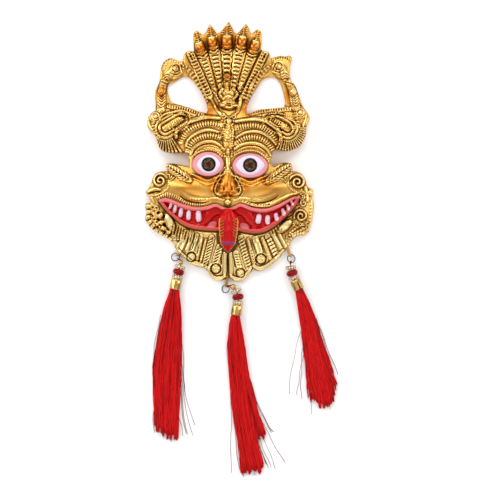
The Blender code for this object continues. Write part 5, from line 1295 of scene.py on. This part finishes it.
class Nodes:
    """A material's node tree, built up one value at a time."""

    def __init__(self, name):
        self.material = bpy.data.materials.new(name)
        self.material.use_nodes = True
        self.tree = self.material.node_tree
        self.shader = self.tree.nodes["Principled BSDF"]

    def put(self, kind, **settings):
        """A new node with some of its settings."""
        node = self.tree.nodes.new(kind)
        for key, value in settings.items():
            setattr(node, key, value)
        return node

    def feed(self, socket, value):
        """A constant into a socket, or a link where the value is another node's output."""
        if isinstance(value, bpy.types.NodeSocket):
            self.tree.links.new(value, socket)
        else:
            socket.default_value = value

    def field(self, name):
        """A number kept at the mesh's vertices."""
        return self.put("ShaderNodeAttribute", attribute_name=name).outputs["Fac"]

    def maths(self, operation, a, b=0.0):
        node = self.put("ShaderNodeMath", operation=operation)
        self.feed(node.inputs[0], a)
        self.feed(node.inputs[1], b)
        return node.outputs[0]

    def add(self, a, b):
        return self.maths("ADD", a, b)

    def times(self, a, b):
        return self.maths("MULTIPLY", a, b)

    def band(self, value, low, high, at_low=0.0, at_high=1.0):
        """A smooth step between two values."""
        node = self.put("ShaderNodeMapRange", interpolation_type="SMOOTHSTEP")
        self.feed(node.inputs["Value"], value)
        for key, number in (("From Min", low), ("From Max", high), ("To Min", at_low), ("To Max", at_high)):
            self.feed(node.inputs[key], number)
        return node.outputs["Result"]

    def noise(self, scale, detail=3.0, roughness=0.55, stretch=(1, 1, 1)):
        """Noise over the object's own places, with the scale in waves a metre."""
        places = self.put("ShaderNodeTexCoord").outputs["Object"]
        mapped = self.put("ShaderNodeMapping")
        self.feed(mapped.inputs["Vector"], places)
        self.feed(mapped.inputs["Scale"], stretch)
        node = self.put("ShaderNodeTexNoise")
        self.feed(node.inputs["Vector"], mapped.outputs[0])
        for key, number in (("Scale", scale), ("Detail", detail), ("Roughness", roughness)):
            self.feed(node.inputs[key], number)
        return node.outputs["Fac"]

    def mix(self, share, one, two):
        """A colour between two, each a constant or another node's output."""
        node = self.put("ShaderNodeMix", data_type="RGBA")
        self.feed(node.inputs[0], share)
        for socket, colour in ((node.inputs[6], one), (node.inputs[7], two)):
            self.feed(socket, colour if isinstance(colour, bpy.types.NodeSocket) else (*colour, 1.0))
        return node.outputs[2]

    def bump(self, *layers):
        """Each layer is a height value, its strength and its depth in metres."""
        normal = None
        for height, strength, depth in layers:
            node = self.put("ShaderNodeBump")
            self.feed(node.inputs["Height"], height)
            self.feed(node.inputs["Strength"], strength)
            self.feed(node.inputs["Distance"], depth)
            if normal is not None:
                self.feed(node.inputs["Normal"], normal)
            normal = node.outputs[0]
        return normal

    def finish(self, **values):
        """Feeds the shader's own sockets and returns the material."""
        for key, value in values.items():
            socket = self.shader.inputs[key.replace("_", " ")]
            if isinstance(value, tuple):
                value = (*value, 1.0)
            self.feed(socket, value)
        return self.material


# Colours, as linear red, green and blue
GOLD = (0.655, 0.402, 0.102)
# The pale, orange and deep golds are mostly painted highlight, reflection and shade tones of one even
# gilding
PALE_GOLD = (0.84, 0.66, 0.31)
ORANGE_GOLD = (0.60, 0.235, 0.028)
DEEP_GOLD = (0.44, 0.145, 0.020)
# Dark brown for patina in the hollows and painted shade there, and for the dark seams of the caps
PATINA_AND_SHADE = (0.070, 0.030, 0.007)
EYE_WHITE = (0.60, 0.53, 0.66)
LID_PINK = (0.58, 0.235, 0.25)
IRIS_BROWN = (0.022, 0.010, 0.004)
IRIS_LIGHT = (0.125, 0.070, 0.030)
BLACK = (0.002, 0.001, 0.001)
PUPIL_RED = (0.035, 0.002, 0.002)
MOUTH_RED = (0.42, 0.0015, 0.0015)
LIP_PINK = (0.60, 0.145, 0.15)
LIP_RED = (0.56, 0.075, 0.060)
TOOTH = (0.72, 0.52, 0.60)
TONGUE_RED = (0.44, 0.0015, 0.002)
ZIGZAG = (0.14, 0.05, 0.21)
ROPE_GOLD = (0.42, 0.13, 0.03)
THREAD_RED = (0.60, 0.004, 0.005)
THREAD_SHADE = (0.13, 0.002, 0.003)
# Fine scratches on the hardware, in waves a metre
SCRATCHES = 900.0


def mask_finish():
    """Polished gilding, browner where it lies low as patina and painted shade, paler where it stands proud
    as a painted highlight, with painted reflection tones and the painted eyes, lips, teeth and tongue.
    """
    n = Nodes("gilded_mask")
    warm, fine = n.field("warmth"), n.field("fine")
    blotch, fleck = n.noise(55, 3), n.noise(900, 2)
    # Light tones painted into the gold: orange reflection and shade, and a pale highlight
    gold = n.mix(n.band(n.add(warm, n.times(blotch, 0.5)), 0.35, 1.6), GOLD, ORANGE_GOLD)
    gold = n.mix(n.band(warm, 1.4, 3.0), gold, DEEP_GOLD)
    gold = n.mix(n.band(warm, -0.1, -0.6), gold, PALE_GOLD)
    # Low places take patina and painted shade; raised ones a painted highlight of pale gold; hollows a
    # painted orange reflection
    low = n.add(fine, n.times(n.field("broad"), 0.3))
    low = n.add(low, n.times(n.maths("SUBTRACT", blotch, 0.5), 0.35))
    shade = n.band(low, -0.06, -0.55)
    gold = n.mix(n.times(n.band(low, 0.05, 0.6, 0.0, 0.5), n.band(warm, 0.9, 0.3)), gold, PALE_GOLD)
    gold = n.mix(n.band(low, 0.0, -0.35), gold, n.mix(0.5, gold, ORANGE_GOLD))
    colour = n.mix(n.times(shade, 0.93), gold, PATINA_AND_SHADE)
    radius = n.field("iris")
    ring = n.times(n.band(radius, -0.1, 0.1), n.band(radius, 1.35, 1.05))
    mottle = n.band(n.noise(800, 2), 0.35, 0.65)
    iris = n.mix(n.band(radius, IRIS - 2.2, IRIS - 0.9), n.mix(mottle, IRIS_BROWN, IRIS_LIGHT), PUPIL_RED)
    iris = n.mix(ring, iris, BLACK)
    eye = n.mix(n.band(radius, -0.12, 0.12), EYE_WHITE, iris)
    tongue = n.mix(n.band(n.field("zigzag"), -0.2, 0.2), TONGUE_RED, ZIGZAG)
    tongue = n.mix(n.band(n.field("rope"), 0.35, 0.85, 0.0, 0.75), tongue, ROPE_GOLD)
    tongue = n.mix(n.band(n.maths("ABSOLUTE", n.field("tongue_across")), 0.84, 0.92), tongue, ORANGE_GOLD)
    paint = 0.0
    # Each painted part: its field, between which depths inside it the paint sets in, and its colour
    for field, bare, full, tone in (("lip", -0.05, 0.15, LIP_PINK), ("low_lip", -0.4, 0.9, LIP_RED),
                                    ("mouth", -0.05, 0.15, MOUTH_RED), ("gum", 0.0, 0.12, LIP_PINK),
                                    ("tooth", 0.0, 0.12, TOOTH), ("tongue", -0.02, 0.1, tongue),
                                    ("lid", -0.05, 0.15, LID_PINK), ("eye_white", -0.1, 0.1, eye)):
        share = n.band(n.field(field), bare, full)
        colour = n.mix(share, colour, tone)
        paint = n.maths("MAXIMUM", paint, share)
    metal = n.maths("SUBTRACT", 1.0, paint)
    rough = n.add(n.band(fleck, 0.3, 0.7, 0.24, 0.32), n.times(shade, 0.2))
    rough = n.add(rough, n.band(n.field("front"), 0.4, 0.6, 0.32, 0.0))
    rough = n.add(rough, n.band(n.maths("ABSOLUTE", fine), 0.10, 0.0, 0.0, 0.22))
    rough = n.add(n.times(rough, metal), n.times(paint, 0.2))
    normal = n.bump((n.noise(260, 3), 0.06, 0.0004), (fleck, 0.03, 0.00012))
    return n.finish(Base_Color=colour, Metallic=metal, Roughness=rough, Normal=normal,
                    Specular_IOR_Level=0.17)


def metal_finish(name, colour, worn, rough):
    """Polished or worn metal with fine scratches, slightly uneven colour and dark seams."""
    n = Nodes(name)
    tone = n.mix(n.band(n.noise(240, 4), 0.35, 0.75), colour, worn)
    tone = n.mix(n.band(n.field("seam"), 0.2, 0.7), tone, PATINA_AND_SHADE)
    roughness = n.band(n.noise(SCRATCHES, 3), 0.3, 0.7, rough * 0.75, rough * 1.35)
    normal = n.bump((n.noise(SCRATCHES, 2), 0.3, 0.00005))
    return n.finish(Base_Color=tone, Metallic=1.0, Roughness=roughness, Normal=normal)


def red_glass_finish():
    """Deep red faceted glass."""
    n = Nodes("red_glass_beads")
    tone = n.mix(n.noise(500, 2), (0.30, 0.0012, 0.0016), (0.10, 0.0007, 0.001))
    return n.finish(Base_Color=tone, Roughness=0.1, IOR=1.5, Specular_IOR_Level=0.1)


def stone_finish():
    """Small clear pinkish stones in the rondelles."""
    n = Nodes("rondelle_stones")
    tone = n.mix(n.noise(900, 2), (0.95, 0.80, 0.68), (0.70, 0.50, 0.40))
    return n.finish(Base_Color=tone, Roughness=0.04, Transmission_Weight=0.35, IOR=1.6, Coat_Weight=0.5)


def thread_finish():
    """Silky red thread with a fine twist along its length, darker by its tone: partly painted shade within
    the bundles.
    """
    n = Nodes("silky_red_thread")
    tone = n.mix(n.band(n.field("tone"), -0.35, 0.85), THREAD_SHADE, THREAD_RED)
    fibres = n.noise(1400, 2, stretch=(1, 0.2, 1))
    return n.finish(Base_Color=tone, Roughness=0.6, Specular_IOR_Level=0.15,
                    Normal=n.bump((fibres, 0.4, 0.00006)))


def down_string(lean):
    """The level direction that leans so many degrees from -Y towards +X."""
    return np.array([math.sin(math.radians(lean)), -math.cos(math.radians(lean)), 0.0])


def ring_quads(one, two, k, next_k):
    """Four-cornered faces between rings of places that start at two numbers."""
    return np.stack([one + k, one + next_k, two + next_k, two + k], -1).reshape(-1, 4)


def tubes(paths, radii, sides, closed=False):
    """Round tubes along many paths at once, all with as many places; their ends are capped by fans.

    At each place the tube's section is a circle in the plane across the path, laid out by one
    level direction and one that is at right angles to it and to the path.
    """
    paths = np.asarray(paths, float)
    count, length = paths.shape[:2]
    radii = np.broadcast_to(np.asarray(radii, float), (count, length))
    if closed:
        ahead = np.roll(paths, -1, 1) - np.roll(paths, 1, 1)
    else:
        ahead = np.gradient(paths, axis=1)
    ahead /= np.linalg.norm(ahead, axis=2, keepdims=True) + 1e-12
    level = np.cross(ahead, (0, 0, 1.0))
    small = np.linalg.norm(level, axis=2, keepdims=True) < 1e-3
    level = np.where(small, np.cross(ahead, (1.0, 0, 0)), level)
    level /= np.linalg.norm(level, axis=2, keepdims=True)
    rise = np.cross(level, ahead)
    turn = 2 * np.pi * np.arange(sides) / sides
    ring = np.cos(turn)[:, None] * level[:, :, None] + np.sin(turn)[:, None] * rise[:, :, None]
    places = paths[:, :, None] + radii[:, :, None, None] * ring
    last = length if closed else length - 1
    first = (np.arange(count) * length * sides)[:, None, None]
    step = (np.arange(last) * sides)[None, :, None]
    after = (np.mod(np.arange(last) + 1, length) * sides)[None, :, None]
    k = np.arange(sides)[None, None, :]
    next_k = np.mod(k + 1, sides)
    faces = [ring_quads(first + step, first + after, k, next_k)[:, ::-1]]
    places = places.reshape(-1, 3)
    if not closed:
        ends = np.concatenate([paths[:, 0], paths[:, -1]])
        hub = len(places) + np.arange(count)[:, None]
        k, next_k = k[0], next_k[0]
        start = first[:, 0]
        faces.append(np.stack([hub + 0 * k, start + k, start + next_k], -1).reshape(-1, 3))
        finish = start + (length - 1) * sides
        faces.append(np.stack([hub + count + 0 * k, finish + next_k, finish + k], -1).reshape(-1, 3))
        places = np.concatenate([places, ends])
    return places, faces


def lathe(profile, around, wobble=None):
    """A closed profile of (radius, height) turned about the Z axis; wobble may change radius and height."""
    profile = np.asarray(profile, float)
    turn = 2 * np.pi * np.arange(around) / around
    radius = profile[:, 0][:, None] + 0 * turn
    height = profile[:, 1][:, None] + 0 * turn
    if wobble is not None:
        radius, height = wobble(radius, height, turn[None])
    places = np.stack([radius * np.cos(turn), radius * np.sin(turn), height], -1).reshape(-1, 3)
    i = np.arange(len(profile))[:, None]
    k = np.arange(around)[None]
    j, l = np.mod(i + 1, len(profile)), np.mod(k + 1, around)
    return places, [ring_quads(i * around, j * around, k, l)[:, [0, 3, 2, 1]]]


def joined(*shapes):
    """Several shapes as one list of places and faces; each is (places, faces)."""
    places, faces, first = [], [], 0
    for shape_places, shape_faces in shapes:
        places.append(shape_places)
        faces += [f + first for f in shape_faces]
        first += len(shape_places)
    return np.concatenate(places), faces


def laid(places, centre, lean):
    """Turns places so that their own +Z points up the string, and moves them to a centre."""
    up = -down_string(lean)
    side = np.cross(up, (0, 0, 1.0))
    turn = np.stack([side, np.cross(up, side), up], 1)
    return places @ turn.T + centre


def box_middle(node):
    """The middle of the box round a CAD node."""
    low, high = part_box(node)
    return np.array((low + high) / 2)


def string_leans(side):
    """The lean of each piece down a string, by its name."""
    names = ["ball", "upper_rondelle", "bead", "lower_rondelle", "cap"]
    leans = HANGERS[side]["leans"]
    return dict(zip(names[-len(leans):], leans))


def ring_frame(side):
    """The ring's middle, and the directions along and across the lug in its tilted plane."""
    data = HANGERS[side]
    outward = down_string(data["points"])
    sideways = np.cross((0, 0, 1.0), outward)
    dip, roll = math.radians(data["dip"]), math.radians(data["roll"])
    along = outward * math.cos(dip) + np.array([0, 0, -math.sin(dip)])
    across = sideways * math.cos(roll) + np.array([0, 0, math.sin(roll)])
    return box_middle(side + "_ring"), along, across


def hold_point(side):
    """Where the string's loop hangs on the ring's wire."""
    data = HANGERS[side]
    centre, along, across = ring_frame(side)
    turn = math.radians(data["swing"] - data["points"])
    out = along * math.cos(turn) + across * math.sin(turn)
    return centre, centre + out * 0.5 * RING_DIAMETER, out, along, across


def add_strung(side, piece, shape, materials):
    """Lays a shape along its hanger's string and adds it as the look of its node."""
    node = side + "_" + piece
    places, faces = shape
    mesh = mesh_from(node, laid(places, box_middle(node), string_leans(side)[piece]), faces)
    return add_piece(node, mesh, materials)


# Each rondelle's stones, the sheet of its flanges and the wire of its claws
STONES = 10
FLANGE_SHEET = 0.00036
CLAW_RADIUS = 0.00016
# The angle where each ring's cut ends meet, in degrees
RING_OPENING = 206


def make_ring(side, steel):
    """A jump ring of round wire whose cut ends almost meet."""
    centre, along, across = ring_frame(side)
    turn = np.radians(np.linspace(RING_OPENING, RING_OPENING + 352, 61))
    path = centre + 0.5 * RING_DIAMETER * (np.cos(turn)[:, None] * along + np.sin(turn)[:, None] * across)
    mesh = mesh_from(side + "_ring", *tubes([path], 0.5 * RING_WIRE, 12))
    add_piece(side + "_ring", mesh, [steel])


def make_ball(side, brass):
    """A bored ball; the middle one is a crimped cover with creases round its mouth."""
    radius, bore = 0.5 * BALL_DIAMETERS[side], 0.5 * BORE
    first = math.asin(bore / radius)
    angle = np.linspace(first, math.pi - first, 17)
    profile = [(radius * math.sin(a), radius * math.cos(a)) for a in angle]
    inner = [(bore * 0.94, radius * math.cos(a)) for a in angle[::-4]]

    def creased(r, h, turn):
        crease = 0.05 * np.cos(7 * turn) * np.clip(np.abs(h) / radius - 0.35, 0, 1) * (r > bore)
        return r * (1 + (crease if side == "middle" else 0)), h

    add_strung(side, "ball", lathe(profile + inner, 36, creased), [brass])


def make_rondelle(side, piece, metal, stone):
    """Two wavy metal flanges with a row of clear stones held between them by small claws."""
    bore, rim, half = 0.5 * BORE, 0.52 * RONDELLE_DIAMETER, 0.5 * (RONDELLE_LENGTH + CLEARANCE)

    def wavy(r, h, turn):
        swell = 0.045 * np.cos(STONES * turn) * np.clip((r - bore) / (rim - bore), 0, 1)
        return r * (1 + swell - 0.03), h

    flanges = []
    for end in (-1, 1):
        low, high = end * half, end * (half - FLANGE_SHEET)
        ring = [(bore, low), (rim * 0.7, low), (rim * 0.93, low * 0.96), (rim * 0.97, (low + high) / 2),
                (rim * 0.93, high), (rim * 0.7, high), (bore, high)]
        flanges.append(lathe(ring[::end], 60, wavy))
    inside = half - FLANGE_SHEET
    core = lathe([(bore, inside), (rim * 0.62, inside), (rim * 0.62, -inside), (bore, -inside)], 20)
    turns = 2 * math.pi * np.arange(STONES) / STONES
    claws = []
    for turn in turns + math.pi / STONES:
        out = np.array([math.cos(turn), math.sin(turn), 0])
        claws.append([out * rim * share + (0, 0, half * rise)
                      for share, rise in ((0.9, -0.9), (0.97, 0), (0.9, 0.9))])
    metal_shape = joined(*flanges, core, tubes(claws, CLAW_RADIUS, 6))
    gems = joined(*[gem_places(rim, half, turn) for turn in turns])
    mesh = add_strung(side, piece, joined(metal_shape, gems), [metal, stone]).data
    in_gem = np.arange(len(mesh.polygons)) >= sum(len(f) for f in metal_shape[1])
    mesh.polygons.foreach_set("material_index", in_gem.astype(np.int32))
    mesh.polygons.foreach_set("use_smooth", ~in_gem)


def gem_places(rim, half, turn):
    """A small cut stone at one place round a rondelle: a table, a girdle and a point inwards."""
    wide, tall, sides = 2 * math.pi * rim / STONES * 0.36, half * 0.62, 8
    k = 2 * np.pi * np.arange(sides) / sides
    places = [np.stack([np.full(sides, out), np.cos(k) * wide * share, np.sin(k) * tall * share], 1)
              for out, share in ((rim * 0.93, 0.55), (rim * 0.88, 1.0), (rim * 0.60, 0.45))]
    places = np.concatenate(places + [[(rim * 0.93, 0, 0), (rim * 0.58, 0, 0)]])
    j = np.arange(sides)
    nxt = np.mod(j + 1, sides)
    faces = [ring_quads(low, low + sides, j, nxt)[:, ::-1] for low in (0, sides)]
    caps = [np.stack([np.full(sides, 3 * sides), j, nxt], 1),
            np.stack([np.full(sides, 3 * sides + 1), 2 * sides + nxt, 2 * sides + j], 1)]
    c, s = math.cos(turn), math.sin(turn)
    return places @ np.array([(c, s, 0), (-s, c, 0), (0, 0, 1)]), faces + caps


def make_bead(side, glass):
    """A faceted glass double cone with a bore: rows of flat facets that alternate round it."""
    bore, rim, face = 0.5 * BORE, 0.5 * BEAD_DIAMETER, 0.56 * BEAD_FACE
    half, girdle = 0.5 * BEAD_LENGTH, 0.5 * BEAD_GIRDLE
    shoulder = 0.3 * face + 0.7 * rim
    profile = [(bore, half), (face, half), (shoulder, 0.68 * half), (rim, girdle), (rim, -girdle),
               (shoulder, -0.68 * half), (face, -half), (bore, -half)]

    def faceted(r, h, turn):
        odd = np.cos(8 * turn) > 0
        shoulders = np.isclose(r, shoulder)
        pinch = np.where(shoulders, np.where(odd, 0.985, 1.0), np.where(odd, 1.0, 0.965))
        return np.where(r > bore * 1.01, r * pinch, r), h

    places, (quads,) = lathe(profile, 16, faceted)
    faces = [np.concatenate([quads[:, [0, 1, 2]], quads[:, [0, 2, 3]]])]
    bead = add_strung(side, "bead", (places, faces), [glass]).data
    bead.polygons.foreach_set("use_smooth", np.zeros(len(bead.polygons), bool))


# The angle round each cap where the edges of its sheet meet, and half the width of the gap there in radians
CAP_SEAMS = {"left": (90, 0.12), "middle": (214, 0.18), "right": (287, 0.25)}


def make_cap(side, brass):
    """A thin polished cup, open downwards, with a bored, rounded top and the dark seam of its sheet."""
    bore, rim, half, wall = 0.5 * BORE, 0.525 * CAP_DIAMETER, 0.5 * CAP_LENGTH, CAP_WALL
    seam, gap = math.radians(CAP_SEAMS[side][0]), CAP_SEAMS[side][1]
    profile = np.array([(bore, half), (rim * 0.72, half), (rim * 0.93, half * 0.93),
                        (rim * 0.995, half * 0.72), (rim, 0.0), (rim, -half * 0.9), (rim, -half),
                        (rim - wall, -half), (rim - wall, 0.0), (rim - wall * 1.3, half * 0.6),
                        (rim * 0.66, half - wall), (bore, half - wall)])
    around = 96

    def slot(r, h, turn):
        off = np.mod(turn - seam + np.pi, 2 * np.pi) - np.pi
        low_down = np.clip((0.8 * half - h) / (0.3 * half), 0, 1)
        return np.exp(-(off / gap) ** 2) * (r > rim - 0.5 * wall) * low_down

    def dented(r, h, turn):
        dent = 1 - 0.012 * (0.5 + 0.5 * np.cos(2 * turn + 1.0)) * (r > rim * 0.8)
        return r * dent - 0.8 * wall * slot(r, h, turn), h

    mesh = add_strung(side, "cap", lathe(profile, around, dented), [brass]).data
    turn = 2 * np.pi * np.arange(around) / around
    keep_values(mesh, "seam", slot(profile[:, :1], profile[:, 1:], turn[None]).ravel())


def lug_shapes():
    """The lugs: upright loops of a bar that is wider than it is thick."""
    shapes = []
    for side in ("left", "middle", "right"):
        data = HANGERS[side]
        outward = down_string(data["points"])
        bend = 0.5 * (LUG_HEIGHT - LUG_BAR)
        reach = LUG_BAR + RING_WIRE + 2 * CLEARANCE + data["spare"]
        straight = LUG_ROOT + reach - 0.5 * LUG_BAR - bend
        turn = np.radians(np.linspace(90, -90, 15))
        far = np.concatenate([np.linspace(0, straight, 6)[:-1], straight + bend * np.cos(turn),
                              np.linspace(straight, 0, 6)[1:]])
        up = np.concatenate([np.full(5, bend), bend * np.sin(turn), np.full(5, -bend)])
        root = on_table([(*data["root"], 0.5 * RIM_THICKNESS)])[0]
        path = root - outward * LUG_ROOT + far[:, None] * outward + up[:, None] * np.array([0, 0, 1.0])
        places, faces = tubes([path], 0.5 * LUG_BAR, 12)
        sideways = np.cross((0, 0, 1.0), outward)
        places = places + LUG_SPREAD * ((places - root) @ sideways)[:, None] * sideways
        shapes.append((places, faces))
    return shapes


# Threads: how finely each is cut, radii and the gap below in face units, and how many wisps end a bundle
STRAND_SIDES = 3
STRAND_STEPS = 26
STRAND_RADIUS = 0.25
STRAY_RADIUS = 0.16
FLOOR_GAP = 0.12
WISPS = 15
# The tone of strays, cords and the darkest threads, where 1 is the brightest; deep in a bundle this dark is
# painted shade
DARKEST_TONE = -0.35
# How thick a bundle is under its cap and further down, and how high its middle lies there, in face units
THICK_AT_CAP, THICK_BELOW, LYING_HEIGHT = 2.7, 1.3, 1.35


def bundle_edges(bundle, y):
    """The left and right edges of a bundle of thread at some heights, in face units."""
    heights, left, right = bundle["edges"][::-1].T
    return np.interp(y, heights, left), np.interp(y, heights, right)


def strand_paths(bundle, axis_height, seed):
    """Every thread of a bundle keeps its own place across and through it, and wavers a little."""
    chance = np.random.default_rng(seed)
    count = bundle["threads"] // 1
    angle, far = chance.uniform(0, 2 * np.pi, count), np.sqrt(chance.uniform(0, 1, count))
    across, deep = far * np.cos(angle), far * np.sin(angle)
    top = bundle["edges"][0][0]
    wisp = np.round((across + 1) * 0.5 * WISPS).astype(int)
    ragged = chance.uniform(-1.0, 2.8, WISPS + 1)[wisp] + chance.uniform(-0.7, 0.7, count)
    bottom = np.interp(across, *bundle["ends"].T) + ragged
    share = np.linspace(0, 1, STRAND_STEPS)
    y = top + (bottom - top)[:, None] * share
    left, right = bundle_edges(bundle, y)
    gathered = (wisp * 2 / WISPS - 1 - across)[:, None] * 0.85 * ease((share - 0.84) / 0.14)
    spare = chance.normal(0, 0.05, (count, 1)) * share * (1 - ease((share - 0.8) / 0.2))
    drift = spare + across[:, None] + gathered
    x = 0.5 * (left + right) + 0.5 * (right - left) * np.clip(drift, -1.04, 1.04)
    wave = chance.uniform(0, 2 * np.pi, (count, 3))
    for k, (size, turns) in enumerate(((0.35, 1.3), (0.18, 3.1), (0.08, 7.0))):
        x += size * np.sin(wave[:, k:k + 1] + 2 * np.pi * turns * share) * ease(share * 4)
    thick = THICK_AT_CAP + (THICK_BELOW - THICK_AT_CAP) * ease(share * 1.6)
    middle = np.maximum(axis_height + (LYING_HEIGHT - axis_height) * ease(share * 2.2), thick + FLOOR_GAP)
    z = middle + deep[:, None] * thick * 0.94
    z += 0.1 * np.sin(wave[:, 1:2] * 2 + 2 * np.pi * 2.3 * share)
    z = np.maximum(z, STRAND_RADIUS + FLOOR_GAP)
    # Painted shade: threads lower in the bundle are darker, and a random share of threads is dark for the
    # shade between strands
    tone = np.clip(0.60 + 0.34 * deep + chance.normal(0, 0.5, count), DARKEST_TONE, 1)
    return np.stack([x, y, z], -1), tone


def stray_paths(side, seed):
    """Loose threads that leave the bundle and lie near the surface."""
    chance = np.random.default_rng(seed)
    t = np.linspace(0, 1, STRAND_STEPS)[:, None]
    paths = []
    for start, way, end in rows(STRAYS[side], 6).reshape(-1, 3, 2):
        pull = 2 * way - 0.5 * start - 0.5 * end
        curve = (1 - t) ** 2 * start + 2 * t * (1 - t) * pull + t ** 2 * end
        curve[:, 0] += 0.3 * np.sin(2 * np.pi * (1.7 * t[:, 0] + chance.uniform()))
        height = 1.8 * (1 - t) ** 2 + 0.3
        paths.append(np.concatenate([curve, height], 1))
    return np.array(paths)


def make_tassel(side, thread, seed):
    """Red threads under a cap, with the doubled cord that runs up through the bores to the ring."""
    leans = string_leans(side)
    axis_height = box_middle(side + "_cap")[2] / UNIT
    shapes, tones = [], []
    for k, bundle in enumerate(BUNDLES[side]):
        paths, tone = strand_paths(bundle, axis_height, seed + k)
        places, faces = tubes(on_table(paths), STRAND_RADIUS * UNIT, STRAND_SIDES)
        shapes.append((places, faces))
        tones += [np.repeat(tone, STRAND_STEPS * STRAND_SIDES), np.tile(tone, 2)]
    places, faces = tubes(on_table(stray_paths(side, seed + 5)), STRAY_RADIUS * UNIT, STRAND_SIDES)
    shapes.append((places, faces))
    tones.append(np.full(len(places), DARKEST_TONE))
    cap, down = box_middle(side + "_cap"), down_string(leans["cap"])
    inner = 0.5 * CAP_DIAMETER - CAP_WALL - CLEARANCE
    neck = [cap + down * CAP_LENGTH * s for s in (-0.40, -0.38, 0.2, 0.5, 0.9, 1.3)]
    shapes.append(tubes([neck], [[CORD, inner, inner, inner, inner * 0.96, inner * 0.7]], 24))
    _, hold, out, along, across = hold_point(side)
    normal = np.cross(along, across)
    route = [hold + out * 0.5 * LOOP_DIAMETER]
    for name in leans:
        middle = box_middle(side + "_" + name)
        length = {"ball": BALL_DIAMETERS.get(side, 0), "upper_rondelle": RONDELLE_LENGTH,
                  "bead": BEAD_LENGTH, "lower_rondelle": RONDELLE_LENGTH, "cap": 0.7 * CAP_LENGTH}[name]
        for end in (-0.5, 0.5) if name != "cap" else (-0.72,):
            route.append(middle + down_string(leans[name]) * length * end)
    shapes.append(tubes([path_points(np.array(route), 4)], 0.5 * CORD, 10))
    turn = np.radians(np.arange(0, 360, 10))
    loop = hold + 0.5 * LOOP_DIAMETER * (np.cos(turn)[:, None] * out + np.sin(turn)[:, None] * normal)
    shapes.append(tubes([loop], 0.5 * LOOP_WIRE, 10, closed=True))
    for places, _ in shapes[-3:]:
        tones.append(np.full(len(places), DARKEST_TONE))
    places, faces = joined(*shapes)
    mesh = mesh_from(side + "_tassel", places, faces)
    keep_values(mesh, "tone", np.concatenate(tones))
    add_piece(side + "_tassel", mesh, [thread])


# The view, and the soft boxes: each light's name, place, size and power
VIEW_CENTRE = (0.00597, -0.00086)
VIEW_WIDTH = 0.300
LENS, SENSOR = 200, 36
TABLE_REACH = 1.6
WORLD_LIGHT = 0.42
LIGHTS = (("overhead_panel", (0.0, -0.3, 1.85), (3.4, 4.4), 20.0),
          ("left_softbox", (-0.80, 0.30, 0.50), (0.4, 0.9), 6.0),
          ("right_softbox", (0.85, 0.10, 0.45), (0.35, 0.9), 4.0),
          ("top_softbox", (0.05, 0.85, 0.60), (1.1, 0.35), 7.0),
          ("front_softbox", (-0.1, -0.95, 0.55), (1.0, 0.35), 3.0))


def make_stage():
    """A pale table, soft lights round the object and a camera straight above it."""
    n = Nodes("pale_table")
    tone = n.mix(n.noise(9, 3), (0.86, 0.86, 0.87), (0.83, 0.83, 0.845))
    floor = n.finish(Base_Color=tone, Roughness=0.6, Normal=n.bump((n.noise(700, 3), 0.1, 0.00005)))
    corners = rows("-1 -1 0  1 -1 0  1 1 0  -1 1 0", 3) * TABLE_REACH
    mesh = mesh_from("table", corners, [np.array([[0, 1, 2, 3]])])
    mesh.materials.append(floor)
    shown("table", mesh)
    world = bpy.data.worlds.new("studio")
    world.use_nodes = True
    shade = world.node_tree.nodes["Background"]
    shade.inputs["Color"].default_value = (1.0, 0.97, 0.93, 1.0)
    shade.inputs["Strength"].default_value = WORLD_LIGHT
    bpy.context.scene.world = world
    for name, place, size, power in LIGHTS:
        light = bpy.data.lights.new(name, "AREA")
        light.shape = "RECTANGLE"
        light.size, light.size_y = size
        light.energy = power
        lamp = shown(name, light)
        lamp.location = place
        lamp.rotation_mode = "QUATERNION"
        lamp.rotation_quaternion = (-Vector(place)).to_track_quat("-Z", "Y")
    camera = bpy.data.cameras.new("camera")
    camera.lens, camera.sensor_width = LENS, SENSOR
    eye = shown("camera", camera)
    eye.location = (*VIEW_CENTRE, VIEW_WIDTH * LENS / SENSOR)
    bpy.context.scene.camera = eye
    bpy.context.scene.view_settings.view_transform = "Standard"


def main():
    """Every finish, the mask with its lugs, the pieces of each hanger, and the stage."""
    gold = mask_finish()
    brass = metal_finish("brass_hardware", (0.62, 0.41, 0.14), (0.42, 0.24, 0.07), 0.17)
    pale = metal_finish("pale_gold_rondelles", (0.74, 0.58, 0.32), (0.50, 0.37, 0.17), 0.17)
    steel = metal_finish("dark_steel_rings", (0.115, 0.105, 0.095), (0.06, 0.055, 0.05), 0.33)
    glass, stone, thread = red_glass_finish(), stone_finish(), thread_finish()
    places, faces, fields = make_mask_mesh()
    lugs, lug_faces = joined(*lug_shapes())
    first = len(places)
    mesh = mesh_from("mask", np.concatenate([on_table(places), lugs]),
                     faces + [f + first for f in lug_faces])
    # The lugs take fixed values: no light tone, and a low place that paints them partly in patina and shade
    # all over
    lug_values = {"warmth": 0.0, "fine": -0.27}
    for name, values in fields.items():
        keep_values(mesh, name, np.append(values, np.full(len(lugs), lug_values.get(name, values[-1]))))
    add_piece("mask", mesh, [gold])
    for seed, side in enumerate(HANGERS):
        make_ring(side, steel)
        if side in BALL_DIAMETERS:
            make_ball(side, brass)
        make_rondelle(side, "upper_rondelle", pale, stone)
        make_rondelle(side, "lower_rondelle", pale, stone)
        make_bead(side, glass)
        make_cap(side, brass)
        make_tassel(side, thread, 10 * seed + 1)
    make_stage()


main()
